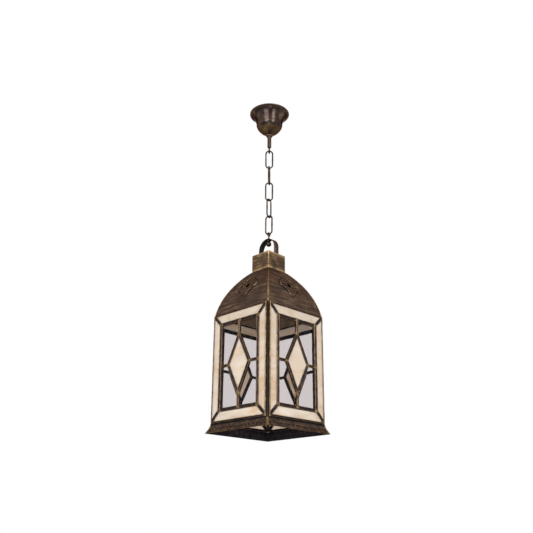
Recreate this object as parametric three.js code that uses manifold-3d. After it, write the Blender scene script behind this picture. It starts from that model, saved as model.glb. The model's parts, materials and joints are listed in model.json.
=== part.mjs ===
// Square stained-glass lantern hanging on a chain from a ceiling rose.
// Millimetres, +Z up. The origin is the centre of the ceiling rose on the ceiling plane,
// so everything hangs below z = 0. The lantern's faces are square to X and Y.
import * as THREE from 'three';
import { mergeVertices } from 'three/addons/utils/BufferGeometryUtils.js';
import Module from 'manifold-3d';

const wasm = await Module();
wasm.setup();

// Clearance, and how far a cutting tool stands out past what it cuts
const fitGap = 0.3;             // between pieces that touch
const over = 1;

// Sides and steps of round shapes
const smallSides = 12;
const holeSides = 16;
const roundSides = 24;
const roseSides = 40;
const turnedSides = 32;
const archSteps = 20;
const lipSteps = 8;
const flangeSteps = 9;
const bellSteps = 11;
const bulbSteps = 7;
const domeSteps = 12;
const wireSides = 8;
const linkSteps = 32;

// Ceiling rose, its bracket and the terminal block
const canopyRadius = 50;
const canopyLip = 1.6;          // radius of the rolled rim
const flangeDepth = 33.5;       // from the ceiling to the top of the bell
const flangeRoundness = 1.2;    // exponent of the flange's outline, 2 is an ellipse
const bellRadius = 33;
const bellDepth = 29.5;
const bellRoundness = 1.62;     // exponent of the bell's outline, 2 is an ellipse
const canopyWall = 1.2;
const canopyRimWidth = 5;       // of the flange's flat edge, lip included
const bracketWidth = 18;
const bracketThickness = 2;
const bracketDrop = 12;         // how far the middle of the bracket hangs down
const bracketMiddle = 52;       // length of the lowered middle
const bracketTab = 14;          // length of each tab on the ceiling
const bracketHole = 4.5;
const bracketHolePlace = 8.4;   // from the tab's bend to its screw hole
const terminalGap = 1.5;        // between the nut's corner and the block
const terminalLength = 15;
const terminalWidth = 16;
const terminalHeight = 11;
const terminalBore = 3;

// Threaded stem, its nuts and its hook
const stemDiameter = 10;
const stemBore = 7.6;
const stemDepth = 98;           // of its lower end below the ceiling
const stemAbove = 6;            // stem above the bracket
const nutAcross = 14;           // across the flats
const nutHeight = 4;
const ringNutDiameter = 17;
const ringNutHeight = 3;
const ringNutChamfer = 1;
const hookWire = 4.5;
const hookEyeRadius = 6.5;      // centre line of the hook's round eye
const hookDrop = 17;            // from the stem's end to the hook's lowest point
const hookHeading = -45;        // of the eye's flat side, degrees
const shankLength = 18;         // shank inside the stem
const crossPinDiameter = 2;
const crossPinHeight = 10;      // above the stem's end

// Chain
const linkLength = 52.1;
const linkWidth = 20;
const linkWire = 3.5;
const linkHeadings = [45, -54, 45, -79, 20];   // of each link's flat side, degrees

// Swivel hook between the chain and the bail
const swivelWire = 3.2;
const swivelEyeRadius = 4.1;    // centre line of its eye
const swivelEyeHeading = 95;    // degrees
const swivelRise = 13.85;       // from the link's wire in its eye to the bail's crown
const swivelHole = 4.6;         // hole in the bail's crown, diameter
const swivelWasherRadius = 5.4;
const swivelWasherHeight = 2.2;
const swivelNeckRadius = 4;
const swivelBallRadius = 6.3;
const swivelHeadLength = 15.6;  // washer, neck and ball below the strap

// Bail, collar and lamp
const strapWidth = 15;
const strapThickness = 1.5;
const bailRise = 43;            // from the collar's top to the bail's crown
const bailGap = 1.3;            // between the bail's legs and the collar
const collarSide = 56;
const collarHeight = 41;
const collarWall = 1;
const carrierWidth = 20;
const carrierThickness = 1.5;
const carrierHeight = 4.5;      // of its underside above the collar's lower edge
const nippleLength = 16;
const nippleAbove = 8;          // nipple above the carrier
const holderCapRadius = 15;
const holderCapHeight = 14;
const holderCapWall = 1.2;
const holderCapTop = 9;         // thickness of the cap's threaded top
const holderCapSlopeIn = 3;     // sloped shoulder round the cap's top
const holderCapSlopeDown = 2;
const holderHeight = 40;
const holderBore = 7.3;         // radius of the lamp's socket
const holderTop = 4;            // thickness of the socket's closed end
const holderWireHole = 2;       // radius
const bulbRadius = 17.5;
const bulbLength = 78;          // glass, below the holder
const bulbBaseLength = 24;
const bulbBaseTaper = 3;        // sloped end of the base
const bulbContactRadius = 3.85;
const bulbWidest = 0.42;        // of the glass's length, from the holder
const bulbPoint = 0.8;          // exponent of the outline below, 1 is an ellipse

// Dome
const domeSide = 172.6;         // outside, at its foot
const domeHeight = 108.7;
const domeBulge = 10.3;         // how far its curve stands out from a straight line
const domeWall = 0.8;
const ventWidth = 9;
const ventRise = 12.5;          // height of its oval, seen from the side
const ventHeight = 61.7;        // of its middle above the dome's foot

// Glass panels
const panelSide = 181;          // outside, across the lantern
const panelEndIn = 7;           // from a side's outer face to the end of the next panel
const windowHeight = 233;       // seen between the dome and the skirt
const cameThickness = 6;
const outerCame = 2.4;          // seen width of the upright edge cames
const topCame = 3;
const bottomCame = 4.5;
const borderWidth = 18;         // seen width of the cream strips
const innerCame = 8;
const mitreCame = 7.5;
const diamondCame = 7.5;
const stubCame = 6;
const diamondHalfWidth = 32.4;  // to the centre line of its came
const diamondHalfHeight = 63;
const glassThickness = 2.5;
const glassTuck = 1.2;          // glass held in a came's groove
const cornerRodRadius = 1.8;    // solder in the notch between two panels' ends

// Skirt
const skirtSide = 192;
const skirtTopSide = 174;
const skirtHeight = 19.7;
const skirtWall = 0.8;

// Places down the hanging line
const bracketFloor = -bracketDrop;
const bracketTop = bracketFloor + bracketThickness;
const bellBottom = -flangeDepth - bellDepth;
const stemBottom = -stemDepth;
const crossPinPlace = stemBottom + crossPinHeight;
const hookBottom = stemBottom - hookDrop;
const linkPitch = linkLength - 2 * linkWire - fitGap;
const firstLinkTop = hookBottom + hookWire + fitGap + linkWire;
const lastLinkBottom = firstLinkTop - (linkHeadings.length - 1) * linkPitch - linkLength;
const swivelPivot = lastLinkBottom + linkWire / 2;
const crownTop = swivelPivot - swivelRise;
const strapUnderside = crownTop - strapThickness;
const collarTop = crownTop - bailRise;
const collarBottom = collarTop - collarHeight;
const carrierFloor = collarBottom + carrierHeight;
const carrierTop = carrierFloor + carrierThickness;
const domeTop = collarBottom - fitGap;
const domeBase = domeTop - domeHeight;
const panelTop = domeBase - fitGap;
const windowTop = panelTop - topCame;
const windowBottom = windowTop - windowHeight;
const panelBottom = windowBottom - bottomCame;
const skirtTop = panelBottom - fitGap;
const skirtBottom = skirtTop - skirtHeight;

// Widths that follow from the collar and the panels
const collarInside = collarSide / 2 - collarWall;
const bailOuter = collarInside - bailGap;       // radius of the bail's arch
const bailInner = bailOuter - strapThickness;
const panelHalf = panelSide / 2;
const panelEnd = panelHalf - panelEndIn;
const mitreGap = fitGap / Math.SQRT2;
const cornerRodPlace = panelEnd + fitGap + cornerRodRadius;
const stemClear = stemDiameter / 2 + fitGap;

// Materials, as seen on the object
function metal(colour, roughness) {
  return new THREE.MeshStandardMaterial({ color: colour, roughness, metalness: 0.85 });
}

function pale(colour, roughness, opacity = 1) {
  const transparent = opacity < 1;
  return new THREE.MeshStandardMaterial({ color: colour, roughness, metalness: 0, transparent, opacity });
}

const bronze = () => metal(0x5f4a38, 0.5);
const darkBronze = () => metal(0x4a3b30, 0.55);
const chainBronze = () => metal(0x54463c, 0.45);
const solder = () => metal(0x6b5237, 0.4);
const zinc = () => metal(0xb4b4b0, 0.4);
const creamGlass = () => pale(0xe6d8c0, 0.3);
const clearGlass = () => pale(0xe8e4e6, 0.05, 0.35);
const porcelain = () => pale(0xece8dd, 0.35);
const plastic = () => pale(0xd8d6cc, 0.5);

// Solids, to and from the boolean library
function toSolid(geometry) {
  const bare = geometry.clone();
  bare.deleteAttribute('normal');
  bare.deleteAttribute('uv');
  const merged = mergeVertices(bare, 1e-4);
  return new wasm.Manifold(new wasm.Mesh({
    numProp: 3,
    vertProperties: new Float32Array(merged.attributes.position.array),
    triVerts: new Uint32Array(merged.index.array),
  }));
}

function toGeometry(solid) {
  const mesh = solid.getMesh();
  const geometry = new THREE.BufferGeometry();
  geometry.setAttribute('position', new THREE.BufferAttribute(mesh.vertProperties, 3));
  geometry.setIndex(new THREE.BufferAttribute(mesh.triVerts, 1));
  geometry.computeVertexNormals();
  return geometry;
}

function cut(geometry, ...tools) {
  let solid = toSolid(geometry);
  for (const tool of tools) {
    solid = solid.subtract(toSolid(tool));
  }
  return toGeometry(solid);
}

// Plain shapes
function box(low, high) {
  const size = high.map((value, i) => value - low[i]);
  const middle = low.map((value, i) => value + size[i] / 2);
  return new THREE.BoxGeometry(...size).translate(...middle);
}

function rod(radius, bottom, top, sides = roundSides) {
  const geometry = new THREE.CylinderGeometry(radius, radius, top - bottom, sides);
  return geometry.rotateX(Math.PI / 2).translate(0, 0, (top + bottom) / 2);
}

function turned(outline, segments = turnedSides) {
  const points = outline.map(([radius, height]) => new THREE.Vector2(radius, height));
  if (THREE.ShapeUtils.area(points) < 0) {
    points.reverse();
  }
  points.push(points[0].clone());
  return new THREE.LatheGeometry(points, segments).rotateX(Math.PI / 2);
}

function polygon(points) {
  return new THREE.Shape(points.map(([x, y]) => new THREE.Vector2(x, y)));
}

function slab(shape, from, to) {
  const geometry = new THREE.ExtrudeGeometry(shape, { depth: to - from, bevelEnabled: false });
  return geometry.translate(0, 0, from);
}

function heading(degrees) {
  const angle = THREE.MathUtils.degToRad(degrees);
  return new THREE.Vector3(Math.cos(angle), Math.sin(angle), 0);
}

// A place in an upright plane through the hanging line
function inPlane(direction, side, height) {
  return direction.clone().multiplyScalar(side).setZ(height);
}

// Points of an arc in (x, y), angles in degrees
function arc(centre, radius, from, to, steps) {
  const points = [];
  for (let i = 0; i <= steps; i += 1) {
    const angle = THREE.MathUtils.degToRad(from + (to - from) * i / steps);
    points.push([centre[0] + radius * Math.cos(angle), centre[1] + radius * Math.sin(angle)]);
  }
  return points;
}

// A line of points moved sideways, to its left when the distance is positive
function offsetLine(points, distance) {
  return points.map(([x, y], i) => {
    const before = points[Math.max(i - 1, 0)];
    const after = points[Math.min(i + 1, points.length - 1)];
    const along = new THREE.Vector2(after[0] - before[0], after[1] - before[1]).normalize();
    return [x - along.y * distance, y + along.x * distance];
  });
}

// A convex outline, counterclockwise, with every edge moved out
function grown(points, distance) {
  const count = points.length;
  const edges = points.map((from, i) => {
    const to = points[(i + 1) % count];
    const along = new THREE.Vector2(to[0] - from[0], to[1] - from[1]).normalize();
    const offset = along.y * from[0] - along.x * from[1] + distance;
    return { x: along.y, y: -along.x, offset };
  });
  return points.map((from, i) => {
    const one = edges[(i + count - 1) % count];
    const two = edges[i];
    const cross = one.x * two.y - one.y * two.x;
    const x = (one.offset * two.y - two.offset * one.y) / cross;
    const y = (two.offset * one.x - one.offset * two.x) / cross;
    return [x, y];
  });
}

const lamp = new THREE.Group();

function add(name, geometry, material, parent = lamp) {
  const mesh = new THREE.Mesh(geometry, material);
  mesh.name = name;
  parent.add(mesh);
}

// Ceiling bracket: a hat-shaped strip with its tabs against the ceiling
function ceilingBracket() {
  const half = bracketMiddle / 2;
  const wall = bracketThickness;
  const end = half + bracketTab;
  const outline = polygon([
    [-end, -wall], [-half, -wall], [-half, bracketFloor], [half, bracketFloor], [half, -wall],
    [end, -wall], [end, 0], [half - wall, 0], [half - wall, bracketTop],
    [wall - half, bracketTop], [wall - half, 0], [-end, 0],
  ]);
  const strip = slab(outline, -bracketWidth / 2, bracketWidth / 2).rotateX(Math.PI / 2);
  const screwPlace = half + bracketHolePlace;
  const screwHole = (side) => rod(bracketHole / 2, -wall - over, over).translate(side * screwPlace, 0, 0);
  const stemHole = rod(stemClear, bracketFloor - over, bracketTop + over);
  return cut(strip, stemHole, screwHole(-1), screwHole(1));
}

function nut(bottom) {
  const top = bottom + nutHeight;
  const hexagon = rod(nutAcross / Math.sqrt(3), bottom, top, 6);
  return cut(hexagon, rod(stemClear, bottom - over, top + over));
}

// Terminal block for the supply wires, under the bracket beside the nut
function terminalBlock() {
  const start = nutAcross / Math.sqrt(3) + terminalGap;
  const end = start + terminalLength;
  const top = bracketFloor - fitGap;
  const block = box([start, -terminalWidth / 2, top - terminalHeight], [end, terminalWidth / 2, top]);
  const bore = (side) => rod(terminalBore / 2, start - over, end + over, smallSides)
    .rotateY(Math.PI / 2)
    .translate(0, side * terminalWidth / 4, top - terminalHeight / 2);
  return cut(block, bore(-1), bore(1));
}

// Ceiling rose: a flared flange with a rolled rim, then a bell down to the stem
function canopyCup() {
  const rim = canopyRadius - canopyRimWidth;
  const neck = bellRadius - canopyWall;
  const lipCentre = [canopyRadius - canopyLip, -canopyLip];
  const lip = arc(lipCentre, canopyLip, 90, -90, lipSteps);
  const skin = [];
  for (let i = 0; i <= flangeSteps; i += 1) {
    const turn = i / flangeSteps * Math.PI / 2;
    const radius = rim - (rim - neck) * Math.sin(turn) ** (2 / flangeRoundness);
    const share = 1 - Math.cos(turn) ** (2 / flangeRoundness);
    skin.push([radius, -2 * canopyLip - (flangeDepth - 2 * canopyLip) * share]);
  }
  for (let i = 0; i < bellSteps; i += 1) {
    const turn = i / bellSteps * Math.PI / 2;
    const radius = bellRadius * Math.cos(turn) ** (2 / bellRoundness);
    const height = -flangeDepth - bellDepth * Math.sin(turn) ** (2 / bellRoundness);
    if (radius > stemClear + 2 * canopyWall) {
      skin.push([radius, height]);
    }
  }
  const lining = offsetLine(skin, -canopyWall).reverse();
  const brim = rim - canopyWall;
  const outer = [...lip, ...skin, [stemClear, bellBottom]];
  const inner = [[stemClear, bellBottom + canopyWall], ...lining.slice(0, -1)];
  const upper = [[brim, -2 * canopyLip + canopyWall], [canopyRadius - canopyLip, -canopyLip]];
  return turned([...outer, ...inner, ...upper], roseSides);
}

function ringNut() {
  const top = bellBottom - fitGap;
  const bottom = top - ringNutHeight;
  const outer = ringNutDiameter / 2;
  return turned([
    [stemClear, bottom], [outer - ringNutChamfer, bottom], [outer, bottom + ringNutChamfer],
    [outer, top - ringNutChamfer], [outer - ringNutChamfer, top], [stemClear, top],
  ]);
}

// Stem: a threaded tube with a cross pin that carries the hook
const crossPinTurn = THREE.MathUtils.degToRad(45);

function acrossStem(radius, halfLength) {
  const pin = rod(radius, -halfLength, halfLength, smallSides).rotateY(Math.PI / 2);
  return pin.rotateZ(crossPinTurn).translate(0, 0, crossPinPlace);
}

function pipe(bottom, top) {
  const outer = stemDiameter / 2;
  const bore = stemBore / 2;
  return turned([[bore, bottom], [outer, bottom], [outer, top], [bore, top]], roundSides);
}

function stemTube() {
  const hole = acrossStem(crossPinDiameter / 2 + fitGap, stemDiameter);
  return cut(pipe(stemBottom, bracketTop + stemAbove), hole);
}

// A closed eye of round wire in an upright plane
function wireEye(eyeRadius, wireRadius, degrees, centre) {
  const ring = new THREE.TorusGeometry(eyeRadius, wireRadius, wireSides, roundSides);
  ring.rotateX(Math.PI / 2).rotateZ(THREE.MathUtils.degToRad(degrees));
  return ring.translate(0, 0, centre);
}

function stemHook() {
  const radius = hookWire / 2;
  const eyeCentre = hookBottom + radius + hookEyeRadius;
  const eye = wireEye(hookEyeRadius, radius, hookHeading, eyeCentre);
  const shank = rod(radius, eyeCentre + hookEyeRadius, stemBottom + shankLength, smallSides);
  const hole = acrossStem(crossPinDiameter / 2 + fitGap, stemDiameter);
  return toGeometry(toSolid(eye).add(toSolid(shank)).subtract(toSolid(hole)));
}

// Chain link: round wire along two straight sides and two half circles
class LinkLine extends THREE.Curve {
  constructor(direction, centre) {
    super();
    this.direction = direction;
    this.centre = centre;
  }

  getPoint(t) {
    const radius = (linkWidth - linkWire) / 2;
    const straight = linkLength - linkWidth;
    const bend = Math.PI * radius;
    const total = 2 * (straight + bend);
    let along = (t * total) % total;
    const sign = along < total / 2 ? 1 : -1;
    along %= total / 2;
    const turn = Math.max(0, along - straight) / radius;
    const rise = Math.min(along, straight) - straight / 2 + radius * Math.sin(turn);
    return inPlane(this.direction, sign * radius * Math.cos(turn), this.centre + sign * rise);
  }
}

function chainLink(index) {
  const centre = firstLinkTop - index * linkPitch - linkLength / 2;
  const line = new LinkLine(heading(linkHeadings[index]), centre);
  return new THREE.TubeGeometry(line, linkSteps, linkWire / 2, wireSides, true);
}

// Swivel hook: an eye on the last link, a shank through the bail and a round head under it
function swivelHook() {
  const wire = swivelWire / 2;
  const eyeCentre = swivelPivot + linkWire / 2 + fitGap + wire - swivelEyeRadius;
  const archDrop = bailInner - Math.sqrt(bailInner ** 2 - swivelWasherRadius ** 2);
  const headTop = strapUnderside - archDrop - fitGap;
  const washerBottom = headTop - swivelWasherHeight;
  const ballCentre = headTop - swivelHeadLength + swivelBallRadius;
  const ball = new THREE.SphereGeometry(swivelBallRadius, roundSides, smallSides).rotateX(Math.PI / 2);
  const pieces = [
    rod(wire, headTop - wire, eyeCentre - swivelEyeRadius, smallSides),
    rod(swivelWasherRadius, washerBottom, headTop),
    rod(swivelNeckRadius, ballCentre, washerBottom + wire),
    ball.translate(0, 0, ballCentre),
  ];
  let hook = toSolid(wireEye(swivelEyeRadius, wire, swivelEyeHeading, eyeCentre));
  for (const piece of pieces) {
    hook = hook.add(toSolid(piece));
  }
  return toGeometry(hook);
}

// Bail: a flat strap bent to an arch, its legs inside the collar
function bailStrap() {
  const centre = [0, crownTop - bailOuter];
  const foot = carrierTop + fitGap;
  const outline = polygon([
    [bailOuter, foot], ...arc(centre, bailOuter, 0, 180, archSteps), [-bailOuter, foot],
    [-bailInner, foot], ...arc(centre, bailInner, 180, 0, archSteps), [bailInner, foot],
  ]);
  const strap = slab(outline, -strapWidth / 2, strapWidth / 2).rotateX(Math.PI / 2);
  return cut(strap, rod(swivelHole / 2, strapUnderside - over, crownTop + over, holeSides));
}

function collar() {
  const outer = collarSide / 2;
  const body = box([-outer, -outer, collarBottom], [outer, outer, collarTop]);
  const low = [-collarInside, -collarInside, collarBottom - over];
  return cut(body, box(low, [collarInside, collarInside, collarTop + over]));
}

// Carrier: a bar across the collar that the bail stands on and the lampholder hangs from
function carrierBar() {
  const half = collarInside - fitGap;
  const bar = box([-half, -carrierWidth / 2, carrierFloor], [half, carrierWidth / 2, carrierTop]);
  return cut(bar, rod(stemClear, carrierFloor - over, carrierTop + over));
}

// Lampholder: a cap screwed on the nipple and a socket under it
const holderCapPlace = carrierFloor - fitGap;
const socketTop = holderCapPlace - holderCapTop - fitGap;
const socketBottom = socketTop - holderHeight;

function holderCap() {
  const floor = holderCapPlace - holderCapHeight;
  const under = holderCapPlace - holderCapTop;
  const inside = holderCapRadius - holderCapWall;
  return turned([
    [stemClear, holderCapPlace], [stemClear, under], [inside, under], [inside, floor],
    [holderCapRadius, floor], [holderCapRadius, holderCapPlace - holderCapSlopeDown],
    [holderCapRadius - holderCapSlopeIn, holderCapPlace],
  ]);
}

function holderSocket() {
  const outer = holderCapRadius - holderCapWall - fitGap;
  const under = socketTop - holderTop;
  return turned([
    [holderWireHole, socketTop], [holderWireHole, under], [holderBore, under],
    [holderBore, socketBottom], [outer, socketBottom], [outer, socketTop],
  ]);
}

function bulb() {
  const base = holderBore - fitGap;
  const shoulder = socketBottom - fitGap;
  const baseTop = shoulder + bulbBaseLength;
  const widest = shoulder - bulbLength * bulbWidest;
  const tip = shoulder - bulbLength;
  const points = [
    [0, baseTop], [bulbContactRadius, baseTop], [base, baseTop - bulbBaseTaper], [base, shoulder],
  ];
  for (let i = 1; i <= bulbSteps; i += 1) {
    const part = i / bulbSteps;
    const radius = base + (bulbRadius - base) * Math.sin(part * Math.PI / 2);
    points.push([radius, shoulder + (widest - shoulder) * part]);
  }
  for (let i = 1; i < bulbSteps; i += 1) {
    const part = i / bulbSteps;
    const radius = bulbRadius * Math.cos(part * Math.PI / 2) ** bulbPoint;
    points.push([radius, widest + (tip - widest) * part]);
  }
  points.push([0, tip]);
  points.reverse();
  const outline = points.map(([radius, height]) => new THREE.Vector2(radius, height));
  return new THREE.LatheGeometry(outline, roundSides).rotateX(Math.PI / 2);
}

// One side of the lantern, seen from outside: x to the right, y up, z outwards.
// The wedge keeps each dome sheet inside its own quarter, mitred to its neighbours.
function domeWedge() {
  const reach = domeSide;
  const triangle = polygon([[0, mitreGap], [reach, reach + mitreGap], [-reach, reach + mitreGap]]);
  return slab(triangle, -domeTop - over, -domeBase + over).rotateX(Math.PI / 2);
}

// The dome's curve: a round arc from its foot to the collar, as (distance out, height)
function domeLine() {
  const start = [domeSide / 2, domeBase];
  const end = [collarSide / 2, domeTop];
  const chord = Math.hypot(end[0] - start[0], end[1] - start[1]);
  const radius = chord ** 2 / (8 * domeBulge) + domeBulge / 2;
  const half = THREE.MathUtils.radToDeg(Math.asin(chord / 2 / radius));
  const lean = THREE.MathUtils.radToDeg(Math.atan2(start[0] - end[0], end[1] - start[1]));
  const first = lean - half;
  const angle = THREE.MathUtils.degToRad(first);
  const centre = [start[0] - radius * Math.cos(angle), start[1] - radius * Math.sin(angle)];
  return arc(centre, radius, first, lean + half, domeSteps);
}

function domeSheet() {
  const outside = domeLine();
  const inside = offsetLine(outside, domeWall).reverse();
  const reach = domeSide / 2 + over;
  const sheet = slab(polygon([...outside, ...inside]), -reach, reach).rotateY(-Math.PI / 2);
  const vent = rod(1, 0, reach).scale(ventWidth / 2, ventRise / 2, 1);
  vent.translate(0, domeBase + ventHeight, 0);
  return toGeometry(toSolid(sheet).intersect(toSolid(domeWedge())).subtract(toSolid(vent)));
}

// Panel layout: the outlines of the glass that shows between the cames
const borderOut = panelEnd - outerCame;
const borderIn = borderOut - borderWidth;
const clearHalfWidth = borderIn - innerCame;
const windowMiddle = (windowTop + windowBottom) / 2;
const borderHalfHeight = windowHeight / 2;
const borderInHeight = borderHalfHeight - borderWidth;
const clearHalfHeight = borderInHeight - innerCame;
const mitreShift = mitreCame / 2 * Math.SQRT2;

function atMiddle(points) {
  return points.map(([x, y]) => [x, y + windowMiddle]);
}

const borderStrips = {
  bottom: atMiddle([
    [mitreShift - borderOut, -borderHalfHeight], [borderOut - mitreShift, -borderHalfHeight],
    [borderIn - mitreShift, -borderInHeight], [mitreShift - borderIn, -borderInHeight],
  ]),
  right: atMiddle([
    [borderOut, mitreShift - borderHalfHeight], [borderOut, borderHalfHeight - mitreShift],
    [borderIn, borderInHeight - mitreShift], [borderIn, mitreShift - borderInHeight],
  ]),
  top: atMiddle([
    [borderOut - mitreShift, borderHalfHeight], [mitreShift - borderOut, borderHalfHeight],
    [mitreShift - borderIn, borderInHeight], [borderIn - mitreShift, borderInHeight],
  ]),
  left: atMiddle([
    [-borderOut, borderHalfHeight - mitreShift], [-borderOut, mitreShift - borderHalfHeight],
    [-borderIn, mitreShift - borderInHeight], [-borderIn, borderInHeight - mitreShift],
  ]),
};

// The diamond with its edges moved out from the came's centre line
function diamond(distance) {
  const centreLine = atMiddle([
    [0, -diamondHalfHeight], [diamondHalfWidth, 0], [0, diamondHalfHeight], [-diamondHalfWidth, 0],
  ]);
  return grown(centreLine, distance);
}

const clearSheet = atMiddle([
  [-clearHalfWidth, -clearHalfHeight], [clearHalfWidth, -clearHalfHeight],
  [clearHalfWidth, clearHalfHeight], [-clearHalfWidth, clearHalfHeight],
]);

// The four openings round the diamond, one in each quarter
function clearOpenings() {
  const stub = stubCame / 2;
  const outer = diamond(diamondCame / 2);
  const tipWidth = outer[1][0];
  const tipHeight = outer[2][1] - windowMiddle;
  const beside = tipWidth * (1 - stub / tipHeight);
  const above = tipHeight * (1 - stub / tipWidth);
  const quarter = [
    [stub, above], [beside, stub], [clearHalfWidth, stub],
    [clearHalfWidth, clearHalfHeight], [stub, clearHalfHeight],
  ];
  const openings = [];
  for (const [signX, signY] of [[1, 1], [-1, 1], [-1, -1], [1, -1]]) {
    const points = quarter.map(([x, y]) => [x * signX, y * signY]);
    openings.push(atMiddle(signX * signY > 0 ? points : points.reverse()));
  }
  return openings;
}

const glassMiddle = panelHalf - cameThickness / 2;

function paneSlab(shape, extra) {
  const half = glassThickness / 2 + extra;
  return slab(shape, glassMiddle - half, glassMiddle + half);
}

function withDiamondHole(points, distance) {
  const shape = polygon(points);
  shape.holes.push(polygon(diamond(distance)));
  return shape;
}

function cameLattice() {
  const reach = panelHalf + over;
  const inside = panelHalf - cameThickness;
  let lattice = toSolid(box([-panelEnd, panelBottom, inside], [panelEnd, panelTop, panelHalf]));
  const panes = [...Object.values(borderStrips), diamond(-diamondCame / 2)];
  const tools = [...panes, ...clearOpenings()].map((outline) => slab(polygon(outline), 0, reach));
  for (const outline of panes) {
    tools.push(paneSlab(polygon(grown(outline, glassTuck + fitGap)), fitGap));
  }
  const hole = diamondCame / 2 - glassTuck - fitGap;
  tools.push(paneSlab(withDiamondHole(grown(clearSheet, glassTuck + fitGap), hole), fitGap));
  for (const tool of tools) {
    lattice = lattice.subtract(toSolid(tool));
  }
  return toGeometry(lattice);
}

function clearPane() {
  const shape = withDiamondHole(grown(clearSheet, glassTuck), diamondCame / 2 - glassTuck);
  return paneSlab(shape, 0);
}

// Skirt: a flared square band round the foot of the panels
function squareFrustum(bottomHalf, topHalf, bottom, top) {
  const corner = Math.SQRT2;
  const height = top - bottom;
  const geometry = new THREE.CylinderGeometry(topHalf * corner, bottomHalf * corner, height, 4, 1);
  return geometry.rotateY(Math.PI / 4).rotateX(Math.PI / 2).translate(0, 0, (top + bottom) / 2);
}

function skirt() {
  const topInside = skirtTopSide / 2 - skirtWall;
  const bottomInside = skirtSide / 2 - skirtWall;
  const flare = (bottomInside - topInside) / skirtHeight;
  const outer = squareFrustum(skirtSide / 2, skirtTopSide / 2, skirtBottom, skirtTop);
  const inner = squareFrustum(
    bottomInside + flare * over, topInside - flare * over, skirtBottom - over, skirtTop + over,
  );
  return cut(outer, inner);
}

// Assembly: ceiling rose and stem
add('ceiling_bracket', ceilingBracket(), zinc());
add('stem_nut_upper', nut(bracketTop + fitGap), zinc());
add('stem_nut_lower', nut(bracketFloor - fitGap - nutHeight), zinc());
add('terminal_block', terminalBlock(), plastic());
add('stem_tube', stemTube(), darkBronze());
add('stem_cross_pin', acrossStem(crossPinDiameter / 2, stemDiameter / 2 - fitGap), darkBronze());
add('stem_hook', stemHook(), darkBronze());
add('canopy_cup', canopyCup(), bronze());
add('canopy_ring_nut', ringNut(), solder());

// Assembly: chain, swivel hook and bail
linkHeadings.forEach((unused, i) => add(`chain_link_${i + 1}`, chainLink(i), chainBronze()));
add('swivel_hook', swivelHook(), chainBronze());
add('bail_strap', bailStrap(), bronze());
add('collar', collar(), bronze());

// Assembly: carrier and lamp
add('carrier_bar', carrierBar(), darkBronze());
add('nipple', pipe(carrierTop + nippleAbove - nippleLength, carrierTop + nippleAbove), zinc());
add('nipple_nut', nut(carrierTop + fitGap), zinc());
add('lampholder_cap', holderCap(), darkBronze());
add('lampholder_socket', holderSocket(), porcelain());
add('candle_bulb', bulb(), clearGlass());

// Assembly: the four sides, front first, then round to the left
const sides = ['front', 'right', 'back', 'left'];
const parts = {
  dome: domeSheet(),
  lattice: cameLattice(),
  clear: clearPane(),
  diamond: paneSlab(polygon(diamond(glassTuck - diamondCame / 2)), 0),
};
sides.forEach((side, i) => {
  const quarter = new THREE.Group();
  quarter.rotation.z = i * Math.PI / 2;
  const face = new THREE.Group();
  face.rotation.x = Math.PI / 2;
  quarter.add(face);
  lamp.add(quarter);
  add(`dome_${side}`, parts.dome, bronze(), face);
  add(`came_lattice_${side}`, parts.lattice, solder(), face);
  add(`clear_pane_${side}`, parts.clear, clearGlass(), face);
  add(`diamond_${side}`, parts.diamond, creamGlass(), face);
  for (const [place, outline] of Object.entries(borderStrips)) {
    add(`border_${side}_${place}`, paneSlab(polygon(grown(outline, glassTuck)), 0), creamGlass(), face);
  }
  const corner = rod(cornerRodRadius, panelBottom, panelTop, holeSides);
  corner.translate(cornerRodPlace, -cornerRodPlace, 0);
  add(`corner_rod_${side}_${sides[(i + 1) % 4]}`, corner, darkBronze(), quarter);
});
add('skirt', skirt(), bronze());

export default lamp;
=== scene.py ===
import json
import math

import bmesh
import bpy
from mathutils import Matrix, Vector, noise


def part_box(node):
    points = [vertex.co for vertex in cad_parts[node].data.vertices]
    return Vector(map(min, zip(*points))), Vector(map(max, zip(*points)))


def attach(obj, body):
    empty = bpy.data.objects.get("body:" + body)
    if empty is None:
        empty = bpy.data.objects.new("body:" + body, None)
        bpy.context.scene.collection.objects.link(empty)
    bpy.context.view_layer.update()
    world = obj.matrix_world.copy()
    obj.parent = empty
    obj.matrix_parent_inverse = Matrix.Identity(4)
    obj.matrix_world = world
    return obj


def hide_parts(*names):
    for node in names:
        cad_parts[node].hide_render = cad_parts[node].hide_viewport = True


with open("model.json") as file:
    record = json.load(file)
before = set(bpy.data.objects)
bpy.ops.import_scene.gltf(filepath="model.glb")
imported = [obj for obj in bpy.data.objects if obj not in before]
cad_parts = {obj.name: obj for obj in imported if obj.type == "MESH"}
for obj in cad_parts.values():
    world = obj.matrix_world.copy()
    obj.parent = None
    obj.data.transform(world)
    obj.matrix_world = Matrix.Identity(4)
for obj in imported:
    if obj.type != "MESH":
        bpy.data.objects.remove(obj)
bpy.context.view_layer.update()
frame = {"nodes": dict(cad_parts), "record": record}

nodes = frame["nodes"]
mm = 0.001
sides = ["front", "right", "back", "left"]
print("frame loaded,", len(nodes), "nodes")

# The camera stands below the lantern, in front of its near corner
camera = {
    "place": (1071.8, -1062.4, -1000.2),
    "azimuth": 45.44,
    "elevation": -21.08,
    "roll": 0.41,
    "focal": 689.2,       # in pixels of the picture
    "picture": 533,       # pixels
    "sensor": 36.0,
}


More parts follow.
